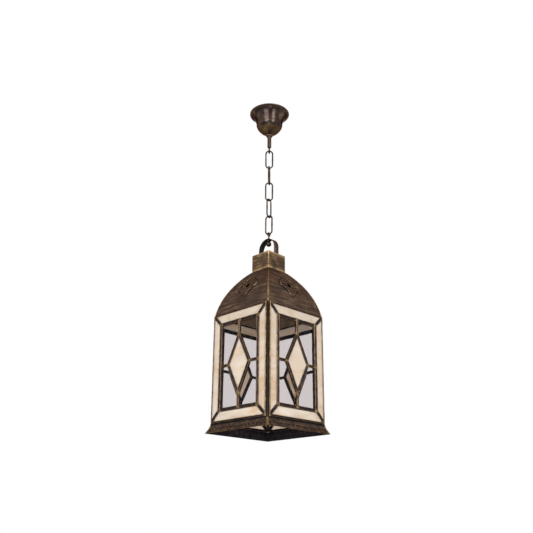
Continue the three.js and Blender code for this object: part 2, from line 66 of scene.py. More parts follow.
def addCamera(size):
    turn = math.radians(size["azimuth"])
    tilt = math.radians(size["elevation"])
    roll = math.radians(size["roll"])
    back = Vector((math.sin(turn) * math.cos(tilt), -math.cos(turn) * math.cos(tilt), math.sin(tilt)))
    level = Vector((math.cos(turn), math.sin(turn), 0))
    above = back.cross(level)
    across = level * math.cos(roll) + above * math.sin(roll)
    up = above * math.cos(roll) - level * math.sin(roll)
    data = bpy.data.cameras.new("photoCamera")
    data.sensor_width = size["sensor"]
    data.lens = size["sensor"] * size["focal"] / size["picture"]
    made = bpy.data.objects.new("photoCamera", data)
    bpy.context.scene.collection.objects.link(made)
    turned = Matrix((across, up, back)).transposed().to_4x4()
    made.matrix_world = Matrix.Translation(Vector(size["place"]) * mm) @ turned
    bpy.context.scene.camera = made


addCamera(camera)


# Working steps that every piece uses
crease = 38             # degrees, above which an edge stays sharp
sameSpot = 0.00001      # metres


def deselectAll():
    bpy.ops.object.select_all(action="DESELECT")


def work(piece):
    deselectAll()
    piece.select_set(True)
    bpy.context.view_layer.objects.active = piece


def addPrimitive(operator, **settings):
    deselectAll()
    operator(**settings)
    return bpy.context.object


def openMesh(piece, action="SELECT"):
    work(piece)
    bpy.ops.object.mode_set(mode="EDIT")
    bpy.ops.mesh.select_all(action=action)
    return bmesh.from_edit_mesh(piece.data)


def closeMesh():
    bpy.ops.object.mode_set(mode="OBJECT")


def moveVerts(piece, place):
    mesh = bmesh.from_edit_mesh(piece.data)
    for vert in mesh.verts:
        if vert.select:
            vert.co = place(vert.co)
    bmesh.update_edit_mesh(piece.data)


def closeUp(piece, angle=crease):
    openMesh(piece)
    bpy.ops.mesh.remove_doubles(threshold=sameSpot)
    bpy.ops.mesh.normals_make_consistent(inside=False)
    closeMesh()
    bpy.ops.object.transform_apply(location=True, rotation=True, scale=True)
    bpy.ops.object.shade_smooth_by_angle(angle=math.radians(angle))
    return piece


# A flat section is pulled from place to place; a ring joins its last place to its first
def swept(name, section, places, ring=False):
    piece = addPrimitive(bpy.ops.mesh.primitive_circle_add, vertices=len(section), radius=1)
    piece.name = name
    mesh = openMesh(piece)
    for vert, point in zip(mesh.verts, section):
        vert.co = places[0] @ Vector(point)
    bmesh.update_edit_mesh(piece.data)
    if not ring:
        bpy.ops.mesh.edge_face_add()
    for before, place in zip(places, places[1:]):
        bpy.ops.mesh.extrude_region_move()
        step = place @ before.inverted()
        moveVerts(piece, lambda point: step @ point)
    if ring:
        bpy.ops.mesh.select_all(action="DESELECT")
        bpy.ops.mesh.select_mode(type="EDGE")
        bpy.ops.mesh.select_non_manifold()
        bpy.ops.mesh.bridge_edge_loops()
        bpy.ops.mesh.select_mode(type="VERT")
    closeMesh()
    return piece


def roundSection(radius, count):
    turns = [2 * math.pi * i / count for i in range(count)]
    return [(radius * math.cos(turn), radius * math.sin(turn), 0) for turn in turns]


# A lathe piece from its outline of (radius, height)
def turned(name, outline, ring=True, count=96):
    places = [
        Matrix.Translation((0, 0, z * mm)) @ Matrix.Diagonal((r * mm, r * mm, 1, 1)) for r, z in outline]
    return closeUp(swept(name, roundSection(1, count), places, ring))


# A node's lowest and highest places and its reach along X, in millimetres
def heights(node):
    low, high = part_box(node)
    return low.z / mm, high.z / mm


def reach(node):
    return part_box(node)[1].x / mm


def arcLine(centre, radius, start, end, steps):
    line = []
    for i in range(steps + 1):
        turn = math.radians(start + (end - start) * i / steps)
        line.append((centre[0] + radius * math.cos(turn), centre[1] + radius * math.sin(turn)))
    return line


# The places of a section along a line of points, its y side towards "face"
def alongLine(points, face, swell=None, ring=False):
    places, last = [], len(points) - 1
    for i, point in enumerate(points):
        ahead = points[(i + 1) % len(points)] if ring else points[min(i + 1, last)]
        behind = points[i - 1] if ring else points[max(i - 1, 0)]
        along = (ahead - behind).normalized()
        up = (face - along * face.dot(along)).normalized()
        across = up.cross(along)
        size = swell(i, point) if swell else (1, 1)
        turn = Matrix((across * size[0], up * size[1], along)).transposed().to_4x4()
        places.append(Matrix.Translation(point) @ turn)
    return places


def joinPieces(name, pieces):
    work(pieces[0])
    for piece in pieces:
        piece.select_set(True)
    bpy.ops.object.join()
    joined = bpy.context.object
    joined.name = name
    return joined


def combine(piece, tool, operation="UNION"):
    work(piece)
    cut = piece.modifiers.new("combine", "BOOLEAN")
    cut.object = tool
    cut.operation = operation
    cut.solver = "EXACT"
    bpy.ops.object.modifier_apply(modifier=cut.name)
    bpy.data.objects.remove(tool)
    return piece


# A skin becomes a wall of sheet, its thickness on the inside
def giveWall(piece, thickness):
    work(piece)
    wall = piece.modifiers.new("wall", "SOLIDIFY")
    wall.thickness, wall.offset = thickness * mm, -1
    bpy.ops.object.modifier_apply(modifier=wall.name)


def sideNames(stem):
    return [stem + side.capitalize() for side in sides]


def cornerNames(stem):
    pairs = zip(sides, sides[1:] + sides[:1])
    return [stem + here.capitalize() + after.capitalize() for here, after in pairs]


# The same piece on the next sides of the lantern, each with its own mesh
def roundTheLantern(piece, names):
    made = [piece]
    piece.name = names[0]
    for i, name in enumerate(names[1:], 1):
        work(piece)
        bpy.ops.object.duplicate()
        copy = bpy.context.object
        copy.name = name
        copy.rotation_euler = (0, 0, i * math.pi / 2)
        bpy.ops.object.transform_apply(location=True, rotation=True, scale=True)
        made.append(copy)
    return made


# The faces that pass the test, or all of them, get a material
def paint(piece, material, test=None):
    piece.data.materials.append(material)
    last = len(piece.data.materials) - 1
    for face in piece.data.polygons:
        if test is None or test(face):
            face.material_index = last


def dress(piece, material, body, slot, *replaced):
    if not piece.data.materials:
        paint(piece, material)
    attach(piece, body)
    if replaced:
        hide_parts(*replaced)
    return piece


# The same piece on every side or corner, dressed; nodes are those that the copies stand for
def dressRound(piece, names, material, slot, nodes=()):
    for i, made in enumerate(roundTheLantern(piece, names)):
        dress(made, material, "lantern", slot, *nodes[i:i + 1])


# Shader nodes
def addNode(tree, kind, inputs=None, **settings):
    made = tree.nodes.new(kind)
    for name, value in settings.items():
        setattr(made, name, value)
    for name, value in (inputs or {}).items():
        if isinstance(value, bpy.types.NodeSocket):
            tree.links.new(value, made.inputs[name])
        else:
            made.inputs[name].default_value = value
    return made


def addRamp(tree, factor, stops):
    made = addNode(tree, "ShaderNodeValToRGB", {"Fac": factor})
    elements = made.color_ramp.elements
    while len(elements) < len(stops):
        elements.new(0.5)
    for element, (place, shade) in zip(elements, stops):
        element.position = place
        element.color = (shade, shade, shade, 1)
    return made.outputs["Color"]


def spread(tree, value, low, high, toLow=0.0, toHigh=1.0):
    made = addNode(tree, "ShaderNodeMapRange", {
        "Value": value, "From Min": low, "From Max": high, "To Min": toLow, "To Max": toHigh})
    return made.outputs["Result"]


def calculate(tree, operation, first, second):
    inputs = {0: first, 1: second}
    return addNode(tree, "ShaderNodeMath", inputs, operation=operation, use_clamp=True).outputs[0]


def blendColours(tree, factor, first, second):
    made = addNode(tree, "ShaderNodeMix", {0: factor, 6: first, 7: second}, data_type="RGBA")
    return made.outputs[2]


# Object coordinates, stretched or turned where settings say so
def objectPlace(tree, **settings):
    place = addNode(tree, "ShaderNodeTexCoord").outputs["Object"]
    return addNode(tree, "ShaderNodeMapping", {"Vector": place, **settings}).outputs[0] if settings else place


def clouds(tree, place, scale, detail, **settings):
    inputs = {"Vector": place, "Scale": scale, "Detail": detail, **settings}
    return addNode(tree, "ShaderNodeTexNoise", inputs).outputs["Fac"]


colourSocket, floatSocket, vectorSocket = "NodeSocketColor", "NodeSocketFloat", "NodeSocketVector"


def startGroup(name, inputs):
    tree = bpy.data.node_groups.new(name, "ShaderNodeTree")
    for label, kind, value in inputs:
        tree.interface.new_socket(label, in_out="INPUT", socket_type=kind).default_value = value
    return tree, tree.nodes.new("NodeGroupInput").outputs


def endGroup(tree, results):
    put = tree.nodes.new("NodeGroupOutput")
    for label, kind, result in results:
        tree.interface.new_socket(label, in_out="OUTPUT", socket_type=kind)
        tree.links.new(result, put.inputs[label])
    return tree


# Brown patina rubbed in strokes, worn to gold where an edge stands out, and darkened in hollows as painted
# shade along with patina gathered there
def patinaGroup():
    tree, given = startGroup("rubbedPatina", [
        ("Dark", colourSocket, (0.05, 0.03, 0.02, 1)), ("Middle", colourSocket, (0.11, 0.07, 0.04, 1)),
        ("Worn", colourSocket, (0.3, 0.19, 0.09, 1)), ("Stroke Scale", vectorSocket, (14, 14, 420)),
        ("Stroke Share", floatSocket, 0.6), ("Edge Wear", floatSocket, 0.7), ("Gloss", floatSocket, 0.4),
        ("Mottle Scale", floatSocket, 34.0), ("Edge", colourSocket, (0.36, 0.23, 0.11, 1)),
    ])
    place = objectPlace(tree)
    strokes = clouds(tree, objectPlace(tree, Scale=given["Stroke Scale"]), 1.0, 7.0, Roughness=0.66)
    strokes = spread(tree, strokes, 0.3, 0.7)
    mottle = clouds(tree, place, given["Mottle Scale"], 5.0, Roughness=0.6, Distortion=0.6)
    mottle = spread(tree, mottle, 0.32, 0.68)
    grain = clouds(tree, place, 900.0, 3.0)
    tone = addNode(tree, "ShaderNodeMix", {0: given["Stroke Share"], 2: mottle, 3: strokes}).outputs[0]
    lower = blendColours(tree, spread(tree, tone, 0.1, 0.62), given["Dark"], given["Middle"])
    body = blendColours(tree, spread(tree, tone, 0.56, 0.98, 0.0, 0.8), lower, given["Worn"])
    point = addNode(tree, "ShaderNodeNewGeometry").outputs["Pointiness"]
    edge = calculate(
        tree, "MULTIPLY", spread(tree, point, 0.51, 0.58), spread(tree, mottle, 0.15, 0.6, 0.25, 1.0))
    edge = calculate(tree, "MULTIPLY", edge, given["Edge Wear"])
    worn = blendColours(tree, edge, body, given["Edge"])
    # hollows darken towards Dark: painted shade, with patina gathered there
    hollowShade = spread(tree, point, 0.49, 0.42, 0.0, 0.75)
    grainy = calculate(tree, "MULTIPLY", grain, 0.3)
    return endGroup(tree, [
        ("Color", colourSocket, blendColours(tree, hollowShade, worn, given["Dark"])),
        ("Roughness", floatSocket, calculate(
            tree, "ADD", given["Gloss"], spread(tree, strokes, 0, 1, 0.1, -0.08))),
        ("Height", floatSocket, calculate(tree, "ADD", calculate(tree, "MULTIPLY", strokes, 0.6), grainy)),
    ])


# Milky glass with warm streaks drawn through it
def streakGroup():
    tree, given = startGroup("streakyGlass", [
        ("Milk", colourSocket, (0.8, 0.7, 0.6, 1)), ("Amber", colourSocket, (0.7, 0.5, 0.3, 1)),
        ("White", colourSocket, (0.9, 0.85, 0.8, 1)), ("Streak Scale", vectorSocket, (9, 9, 24)),
    ])
    drawn = objectPlace(tree, Scale=given["Streak Scale"], Rotation=(0.3, 0.5, 0.2))
    streak = clouds(tree, drawn, 1.0, 5.0, Roughness=0.5, Distortion=1.6)
    amber = addRamp(tree, streak, [(0.5, 0.0), (0.6, 0.45), (0.66, 0.9), (0.74, 0.2)])
    white = addRamp(tree, streak, [(0.28, 0.85), (0.46, 0.0)])
    warm = blendColours(tree, amber, given["Milk"], given["Amber"])
    return endGroup(tree, [
        ("Color", colourSocket, blendColours(tree, white, warm, given["White"])),
        ("Height", floatSocket, clouds(tree, objectPlace(tree), 120.0, 2.0)),
    ])


patina = patinaGroup()
streaks = streakGroup()


def startMaterial(name, settings):
    made = bpy.data.materials.new(name)
    made.use_nodes = True
    shader = made.node_tree.nodes["Principled BSDF"]
    for label, value in settings.items():
        shader.inputs[label].default_value = value
    return made, made.node_tree, shader


def addBump(tree, shader, height, strength, distance):
    bump = addNode(tree, "ShaderNodeBump", {
        "Height": height, "Strength": strength, "Distance": distance * mm})
    tree.links.new(bump.outputs["Normal"], shader.inputs["Normal"])


def opaque(colour):
    return tuple(colour) + (1,)


def patinaMaterial(
        name, colours, strokes, share, wear, gloss, mottle=34, metal=(0.9, 0.25), rim=(0.36, 0.3, 0.27)):
    metallic, bump = metal
    made, tree, shader = startMaterial(name, {"Metallic": metallic, "IOR": 1.5, "Specular Tint": opaque(rim)})
    coat = addNode(tree, "ShaderNodeGroup", {
        "Stroke Scale": strokes, "Stroke Share": share,
        "Edge Wear": wear, "Gloss": gloss, "Mottle Scale": mottle,
    }, node_tree=patina)
    for label, colour in zip(("Dark", "Middle", "Worn", "Edge"), colours):
        coat.inputs[label].default_value = opaque(colour)
    tree.links.new(coat.outputs["Color"], shader.inputs["Base Color"])
    tree.links.new(coat.outputs["Roughness"], shader.inputs["Roughness"])
    addBump(tree, shader, coat.outputs["Height"], bump, 0.3)
    return made


# Metal finishes, their colours as dark, middle, worn and edge;
# metal is how metallic and how rough to the touch
bronze = patinaMaterial(
    "brushedBronze", [(0.03, 0.022, 0.019), (0.1, 0.066, 0.05), (0.36, 0.23, 0.13), (0.3, 0.19, 0.09)],
    strokes=(20, 20, 480), share=0.74, wear=0.5, gloss=0.42)
# pale copy of the patina for inside faces: painted light inside the dome
innerPaintedLight = patinaMaterial(
    "innerPaintedLight", [(0.24, 0.18, 0.11), (0.48, 0.37, 0.23), (0.56, 0.44, 0.28), (0.5, 0.4, 0.27)],
    strokes=(30, 30, 60), share=0.4, wear=0.2, gloss=0.5, metal=(0.6, 0.25))
skirtBronze = patinaMaterial(
    "speckledBronze", [(0.03, 0.02, 0.016), (0.08, 0.053, 0.04), (0.2, 0.125, 0.07), (0.34, 0.21, 0.1)],
    strokes=(40, 40, 240), share=0.4, wear=0.6, gloss=0.42, mottle=90)
# lighter golden copy of the rose's patina for its lower bell: painted light
bellPaintedLight = patinaMaterial(
    "goldenBronze", [(0.05, 0.03, 0.018), (0.13, 0.078, 0.042), (0.3, 0.19, 0.09), (0.2, 0.13, 0.07)],
    strokes=(60, 60, 90), share=0.25, wear=0.4, gloss=0.18, mottle=40, metal=(0.95, 0.12))
roseBronze = patinaMaterial(
    "glossyBronze", [(0.022, 0.015, 0.014), (0.058, 0.04, 0.034), (0.2, 0.13, 0.075), (0.2, 0.13, 0.07)],
    strokes=(60, 60, 90), share=0.25, wear=0.4, gloss=0.17, mottle=40, metal=(0.95, 0.12))
strapBronze = patinaMaterial(
    "drawnBronze", [(0.03, 0.022, 0.018), (0.095, 0.066, 0.05), (0.28, 0.19, 0.12), (0.26, 0.17, 0.1)],
    strokes=(260, 260, 22), share=0.55, wear=0.6, gloss=0.4)
collarBronze = patinaMaterial(
    "collarBronze", [(0.045, 0.03, 0.021), (0.12, 0.076, 0.048), (0.46, 0.3, 0.15), (0.5, 0.33, 0.17)],
    strokes=(24, 24, 420), share=0.62, wear=0.8, gloss=0.36)
chainBronze = patinaMaterial(
    "chainBronze", [(0.013, 0.01, 0.01), (0.034, 0.025, 0.022), (0.24, 0.16, 0.1), (0.24, 0.16, 0.1)],
    strokes=(120, 120, 120), share=0.4, wear=0.35, gloss=0.36, metal=(0.9, 0.2), rim=(0.18, 0.14, 0.13))
cameBronze = patinaMaterial(
    "cameBronze", [(0.016, 0.012, 0.013), (0.042, 0.032, 0.031), (0.11, 0.074, 0.055), (0.42, 0.27, 0.13)],
    strokes=(90, 90, 90), share=0.4, wear=0.55, gloss=0.38, mottle=120, metal=(0.9, 0.35))
# gold for solder seams; also painted highlight on the collar's corners, the came ends and the skirt's corners
goldSeamAndHighlight = patinaMaterial(
    "goldSeamAndHighlight", [(0.06, 0.036, 0.02), (0.2, 0.125, 0.06), (0.5, 0.34, 0.17), (0.5, 0.34, 0.17)],
    strokes=(90, 90, 160), share=0.5, wear=0.5, gloss=0.32, mottle=130, metal=(0.95, 0.3))
# dark for solder seams; also painted shade inside, in creases, hollows and punched dents, and round the vent
darkSeamAndShade = patinaMaterial(
    "darkSeamAndShade", [(0.01, 0.009, 0.011), (0.02, 0.018, 0.021), (0.06, 0.045, 0.04), (0.06, 0.045, 0.04)],
    strokes=(90, 90, 60), share=0.5, wear=0.3, gloss=0.5, metal=(0.8, 0.3))
solderGold = patinaMaterial(
    "solderGold", [(0.03, 0.02, 0.016), (0.1, 0.063, 0.036), (0.45, 0.29, 0.14), (0.55, 0.36, 0.17)],
    strokes=(220, 220, 220), share=0.5, wear=0.8, gloss=0.32, mottle=160, metal=(0.9, 0.35))
ornamentGold = patinaMaterial(
    "ornamentGold", [(0.03, 0.019, 0.016), (0.11, 0.07, 0.038), (0.3, 0.2, 0.1), (0.3, 0.2, 0.1)],
    strokes=(150, 150, 150), share=0.5, wear=0.5, gloss=0.34, mottle=130, metal=(0.95, 0.3))
nutCopper = patinaMaterial(
    "nutCopper", [(0.1, 0.06, 0.05), (0.22, 0.14, 0.12), (0.4, 0.28, 0.23), (0.4, 0.28, 0.23)],
    strokes=(40, 40, 300), share=0.5, wear=0.5, gloss=0.28, metal=(0.95, 0.15))
zincPlate = patinaMaterial(
    "zincPlate", [(0.42, 0.42, 0.41), (0.58, 0.58, 0.56), (0.72, 0.72, 0.7), (0.72, 0.72, 0.7)],
    strokes=(150, 150, 150), share=0.3, wear=0.3, gloss=0.3, metal=(1, 0.1))


def creamMaterial():
    made, tree, shader = startMaterial("creamGlass", {
        "Roughness": 0.16, "IOR": 1.5, "Transmission Weight": 0.5, "Coat Weight": 0.15})
    milk = addNode(tree, "ShaderNodeGroup", {
        "Milk": (0.91, 0.77, 0.615, 1), "Amber": (0.8, 0.58, 0.37, 1), "White": (0.95, 0.87, 0.79, 1),
    }, node_tree=streaks)
    tree.links.new(milk.outputs["Color"], shader.inputs["Base Color"])
    addBump(tree, shader, milk.outputs["Height"], 0.12, 0.6)
    return made


# Light goes through the clear panes to the inside, and the eye sees them as glass
def clearMaterial(name, tint, ripple):
    made, tree, shader = startMaterial(name, {
        "Base Color": tint, "Roughness": 0.02, "IOR": 1.12, "Transmission Weight": 1.0})
    addBump(tree, shader, clouds(tree, objectPlace(tree, Scale=(260, 260, 9)), 1.0, 2.0), ripple, 0.2)
    through = addNode(tree, "ShaderNodeBsdfTransparent", {"Color": tint})
    rays = addNode(tree, "ShaderNodeLightPath").outputs
    soft = calculate(tree, "MAXIMUM", rays["Is Shadow Ray"], rays["Is Diffuse Ray"])
    mixed = addNode(tree, "ShaderNodeMixShader", {0: soft, 1: shader.outputs[0], 2: through.outputs[0]})
    tree.links.new(mixed.outputs[0], tree.nodes["Material Output"].inputs["Surface"])
    return made


def plainMaterial(name, colour, roughness, scale):
    made, tree, shader = startMaterial(name, {"IOR": 1.5})
    cloud = clouds(tree, objectPlace(tree), scale, 4.0)
    darker = [part * 0.82 for part in colour]
    tree.links.new(blendColours(tree, cloud, opaque(darker), opaque(colour)), shader.inputs["Base Color"])
    rough = spread(tree, cloud, 0.3, 0.7, roughness - 0.06, roughness + 0.06)
    tree.links.new(rough, shader.inputs["Roughness"])
    addBump(tree, shader, cloud, 0.1, 0.2)
    return made


creamGlass = creamMaterial()
clearGlass = clearMaterial("clearGlass", (0.785, 0.751, 0.751, 1), 0.12)
bulbGlass = clearMaterial("bulbGlass", (0.97, 0.97, 0.97, 1), 0.02)
porcelain = plainMaterial("glazedPorcelain", (0.86, 0.84, 0.79), 0.2, 60)
insulator = plainMaterial("mouldedInsulator", (0.7, 0.68, 0.62), 0.5, 90)
print("materials made")

# Ceiling rose: a rolled rim, a flared flange and a bell, with a ring nut under it
rose = {
    "lip": 1.6, "lipSteps": 14, "rim": 5, "flange": 33.5, "flangeRoundness": 1.2, "flangeSteps": 32,
    "bell": 33, "roundness": 1.62, "bellSteps": 40, "wall": 1.2, "stemHole": 5.3,
    "paintedLightBelow": 45, "paintedLightSway": 6, "swayScale": 70, "brim": 41, "brimTurn": -0.62, "crease": 0.9,
}


def roseLine(size):
    outer, depth = reach("canopy_cup"), -heights("canopy_cup")[0]
    flat, neck = outer - size["rim"], size["bell"] - size["wall"]
    skin, flare, power = [], 2 / size["flangeRoundness"], 2 / size["roundness"]
    for i in range(size["flangeSteps"] + 1):
        turn = i / size["flangeSteps"] * math.pi / 2
        radius = flat - (flat - neck) * math.sin(turn) ** flare
        drop = (size["flange"] - 2 * size["lip"]) * (1 - math.cos(turn) ** flare)
        skin.append((radius, -2 * size["lip"] - drop))
    for i in range(size["bellSteps"]):
        turn = i / size["bellSteps"] * math.pi / 2
        radius = size["bell"] * math.cos(turn) ** power
        if radius > size["stemHole"] + size["wall"]:
            skin.append((radius, -size["flange"] - (depth - size["flange"]) * math.sin(turn) ** power))
    lip = arcLine((outer - size["lip"], -size["lip"]), size["lip"], 150, -90, size["lipSteps"])
    lining = []
    for i in range(len(skin) - 1, 0, -1):
        ahead, behind = skin[min(i + 1, len(skin) - 1)], skin[i - 1]
        along = Vector((ahead[0] - behind[0], ahead[1] - behind[1])).normalized()
        lining.append((skin[i][0] + along.y * size["wall"], skin[i][1] - along.x * size["wall"]))
    foot = [(size["stemHole"], -depth), (size["stemHole"], -depth + size["wall"])]
    inside = [(radius, height) for radius, height in lining if radius > size["stemHole"] + 0.3]
    brim = [
        (flat - size["wall"], -2 * size["lip"] + size["wall"]),
        (outer - 2.2 * size["lip"], -1.1 * size["lip"])]
    return lip + skin + foot + inside + brim


ringNut = {
    "hole": 5.3, "holeEdge": 0.4, "radius": 8.5, "bevel": 0.9, "bevelIn": 0.25, "bevelUp": 0.3, "groove": 0.5,
}


def ringNutLine(size):
    bottom, top = heights("canopy_ring_nut")
    middle, radius, bevel, groove = (bottom + top) / 2, size["radius"], size["bevel"], size["groove"]
    hole, edge = size["hole"], size["holeEdge"]
    shoulder, rise = radius - size["bevelIn"], size["bevelUp"] * bevel
    return [
        (hole, bottom + edge), (hole + edge, bottom), (radius - bevel, bottom), (shoulder, bottom + rise),
        (radius, bottom + bevel), (radius, middle - groove),
        (radius - groove, middle), (radius, middle + groove),
        (radius, top - bevel), (shoulder, top - rise), (radius - bevel, top), (hole, top),
    ]


# Dark flange; lower bell in a lighter golden copy of the patina as painted light, brim underside in lighter
# bronze as painted highlight, and painted shade along the crease where flange and bell meet
def paintRose(cup, size):
    def onBell(face):
        sway = size["paintedLightSway"] * noise.noise(face.center * size["swayScale"])
        return face.center.z / mm + sway < -size["paintedLightBelow"]

    def onBrim(face):
        return face.normal.z < size["brimTurn"] and face.center.xy.length > size["brim"] * mm

    paint(cup, roseBronze)
    # painted light: the bell below a swaying height turns lighter and golden
    paint(cup, bellPaintedLight, onBell)
    # painted highlight on the brim's downward faces
    paint(cup, collarBronze, onBrim)
    # painted shade: a dark band along the crease
    creaseMiddle = size["crease"] - size["flange"]
    paint(cup, darkSeamAndShade, lambda face: abs(face.center.z / mm - creaseMiddle) < size["crease"])


cup = turned("roseCup", roseLine(rose), count=128)
paintRose(cup, rose)
dress(cup, roseBronze, "rose", "bronze", "canopy_cup")
dress(turned("roseNut", ringNutLine(ringNut)), nutCopper, "rose", "aged_came", "canopy_ring_nut")

# Stem: a tube with a fine thread, open at its foot
stem = {"radius": 5, "bore": 3.8, "thread": 1.0, "depth": 0.16, "edge": 0.35}


def stemLine(size):
    bottom, top = heights("stem_tube")
    line = [(size["bore"], bottom + size["edge"]), (size["bore"] + size["edge"], bottom)]
    line.append((size["radius"] - size["edge"], bottom))
    steps = int((top - bottom) / size["thread"] * 2) - 1
    for i in range(1, steps):
        line.append((size["radius"] - (size["depth"] if i % 2 else 0), bottom + i * size["thread"] / 2))
    return line + [(size["radius"] - size["edge"], top), (size["bore"], top)]


dress(turned("stemTube", stemLine(stem), count=48), strapBronze, "ceiling_mount", "dark_bronze", "stem_tube")

# Round wire: the eye under the stem, the chain and the swivel hook
wire = {
    "rings": 48, "around": 16, "stemWire": 4.5, "stemEye": 6.5, "stemHeading": -45,
    "sunk": 0.2, "step": 6, "tipHeight": 0.8, "tipIn": 0.7,
}


def wireEye(name, radius, thickness, heading, height):
    piece = addPrimitive(
        bpy.ops.mesh.primitive_torus_add, major_radius=radius * mm, minor_radius=thickness / 2 * mm,
        major_segments=wire["rings"], minor_segments=wire["around"],
        location=(0, 0, height * mm), rotation=(math.pi / 2, 0, math.radians(heading)))
    piece.name = name
    bpy.ops.object.transform_apply(location=True, rotation=True, scale=True)
    return piece


def stemEye(size):
    bottom, top = heights("stem_hook")
    half = size["stemWire"] / 2
    centre = bottom + half + size["stemEye"]
    eye = wireEye("stemEye", size["stemEye"], size["stemWire"], size["stemHeading"], centre)
    start = centre + size["stemEye"]
    line = [
        (half, start - size["sunk"]), (half, start + size["step"]),
        (half, top - size["tipHeight"]), (half - size["tipIn"], top),
    ]
    shank = turned("stemShank", line, ring=False, count=24)
    return closeUp(combine(eye, shank), 60)


dress(stemEye(wire), chainBronze, "ceiling_mount", "dark_bronze", "stem_hook")

chain = {
    "wire": 3.5, "width": 20, "headings": (45, -54, 45, -79, 20), "cuts": 9,
    "weld": 1.22, "weldBeside": 1.12, "weldReach": 1.4, "weldCore": 0.6, "weldNarrow": 0.45,
}


def chainLink(index, size):
    low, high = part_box("chain_link_%d" % (index + 1))
    centre, length = (low.z + high.z) / 2, high.z - low.z
    width = size["width"] * mm
    radius = (width - size["wire"] * mm) / 2
    straight = length - width
    piece = addPrimitive(
        bpy.ops.mesh.primitive_torus_add, major_radius=radius, minor_radius=size["wire"] / 2 * mm,
        major_segments=wire["rings"], minor_segments=wire["around"])
    mesh = openMesh(piece, "DESELECT")
    for vert in mesh.verts:
        vert.co.y += straight / 2 if vert.co.y > -0.1 * mm else -straight / 2
    for edge in mesh.edges:
        edge.select = edge.calc_length() > straight * 0.8
    bmesh.update_edit_mesh(piece.data)
    bpy.ops.mesh.subdivide(number_cuts=size["cuts"])
    mesh = bmesh.from_edit_mesh(piece.data)
    gap = straight / (size["cuts"] + 1)
    for vert in mesh.verts:      # the weld stands out in the middle of one leg
        if vert.co.x > 0 and abs(vert.co.y) < gap * size["weldReach"]:
            grow = size["weld"] if abs(vert.co.y) < gap * size["weldCore"] else size["weldBeside"]
            vert.co.x = radius + (vert.co.x - radius) * grow
            vert.co.z *= grow
            vert.co.y *= size["weldNarrow"]
    bmesh.update_edit_mesh(piece.data)
    closeMesh()
    piece.rotation_euler = (math.pi / 2, 0, math.radians(size["headings"][index]))
    piece.location = (0, 0, centre)
    piece.name = "link%d" % (index + 1)
    return closeUp(piece, 60)


for i in range(5):
    dress(chainLink(i, chain), chainBronze, "link_%d" % (i + 1), "chain_bronze", "chain_link_%d" % (i + 1))

swivel = {
    "wire": 3.2, "eye": 4.1, "heading": 95, "head": 15.6, "washer": 5.4, "washerHeight": 2.2,
    "neck": 4, "ball": 6.3, "ballFlat": 0.4, "ballFrom": -84, "ballTo": 45.05, "ballSteps": 22, "neckUp": 0.8,
    "rounding": 0.5,
}


def swivelHook(size):
    bottom, top = heights("swivel_hook")
    half, edge, neck, washer = size["wire"] / 2, size["rounding"], size["neck"], size["washer"]
    centre = top - half - size["eye"]
    eye = wireEye("swivelHook", size["eye"], size["wire"], size["heading"], centre)
    ballCentre = bottom + size["ball"]
    headTop = bottom + size["head"]
    headFoot = headTop - size["washerHeight"]
    line = [(size["ballFlat"], bottom)]
    line += arcLine((0, ballCentre), size["ball"], size["ballFrom"], size["ballTo"], size["ballSteps"])
    line += [
        (neck, ballCentre + size["ball"] * size["neckUp"]), (neck, headFoot - 0.1),
        (washer - edge, headFoot), (washer, headFoot + edge),
        (washer, headTop - edge), (washer - edge, headTop),
        (half, headTop), (half, centre - size["eye"]),
    ]
    return closeUp(combine(eye, turned("swivelHead", line, ring=False, count=40)), 40)


dress(swivelHook(swivel), chainBronze, "hanging_hook", "chain_bronze", "swivel_hook")
print("rose, stem, chain and hook made")

# Bail: a flat strap bent to an arch, with a shallow groove along each edge of its outer face
bail = {
    "width": 15, "thickness": 1.5, "groove": 0.3, "grooveIn": 1.8, "grooveHalf": 0.6, "edge": 0.35,
    "steps": 48, "legStep": 4, "hole": 2.3,
}


def bailStrap(size):
    bottom, crown = heights("bail_strap")
    radius, top = reach("bail_strap") - size["thickness"] / 2, crown - size["thickness"] / 2
    half, thick, edge = size["width"] / 2, size["thickness"] / 2, size["edge"]
    inset, groove, deep = size["grooveIn"], size["grooveHalf"], thick - size["groove"]
    upper = [
        (half - edge, thick), (half - inset + groove, thick), (half - inset, deep),
        (half - inset - groove, thick), (1, thick), (-1, thick), (inset + groove - half, thick),
        (inset - half, deep), (inset - groove - half, thick), (edge - half, thick),
    ]
    lower = [(-half, thick - edge), (-half, edge - thick), (edge - half, -thick), (half - edge, -thick)]
    section = [(x * mm, y * mm, 0) for x, y in upper + lower + [(half, edge - thick), (half, thick - edge)]]
    count = int((top - radius - bottom) / size["legStep"])
    legs = [Vector((radius, 0, bottom + size["legStep"] * i)) for i in range(count)]
    arch = [Vector((x, 0, z)) for x, z in arcLine((0, top - radius), radius, 0, 180, size["steps"])]
    line = legs + arch + [Vector((-point.x, 0, point.z)) for point in reversed(legs)]
    places = []
    for i, point in enumerate(line):
        along = (line[min(i + 1, len(line) - 1)] - line[max(i - 1, 0)]).normalized()
        out = Vector((along.z, 0, -along.x))
        turn = Matrix((Vector((0, 1, 0)), out, along)).transposed().to_4x4()
        places.append(Matrix.Translation(point * mm) @ turn)
    strap = closeUp(swept("bailStrap", section, places))
    drill = addPrimitive(
        bpy.ops.mesh.primitive_cylinder_add,
        vertices=32, radius=size["hole"] * mm, depth=10 * mm, location=(0, 0, top * mm))
    strap = closeUp(combine(strap, drill, "DIFFERENCE"), 32)

    archFoot = (crown - reach("bail_strap")) * mm

    def inside(face):
        axis = Vector((0, 0, min(face.center.z, archFoot)))
        return (face.center - axis).dot(face.normal) < 0
    paint(strap, strapBronze)
    # painted shade: the strap's inner faces are painted dark
    paint(strap, darkSeamAndShade, inside)
    return strap


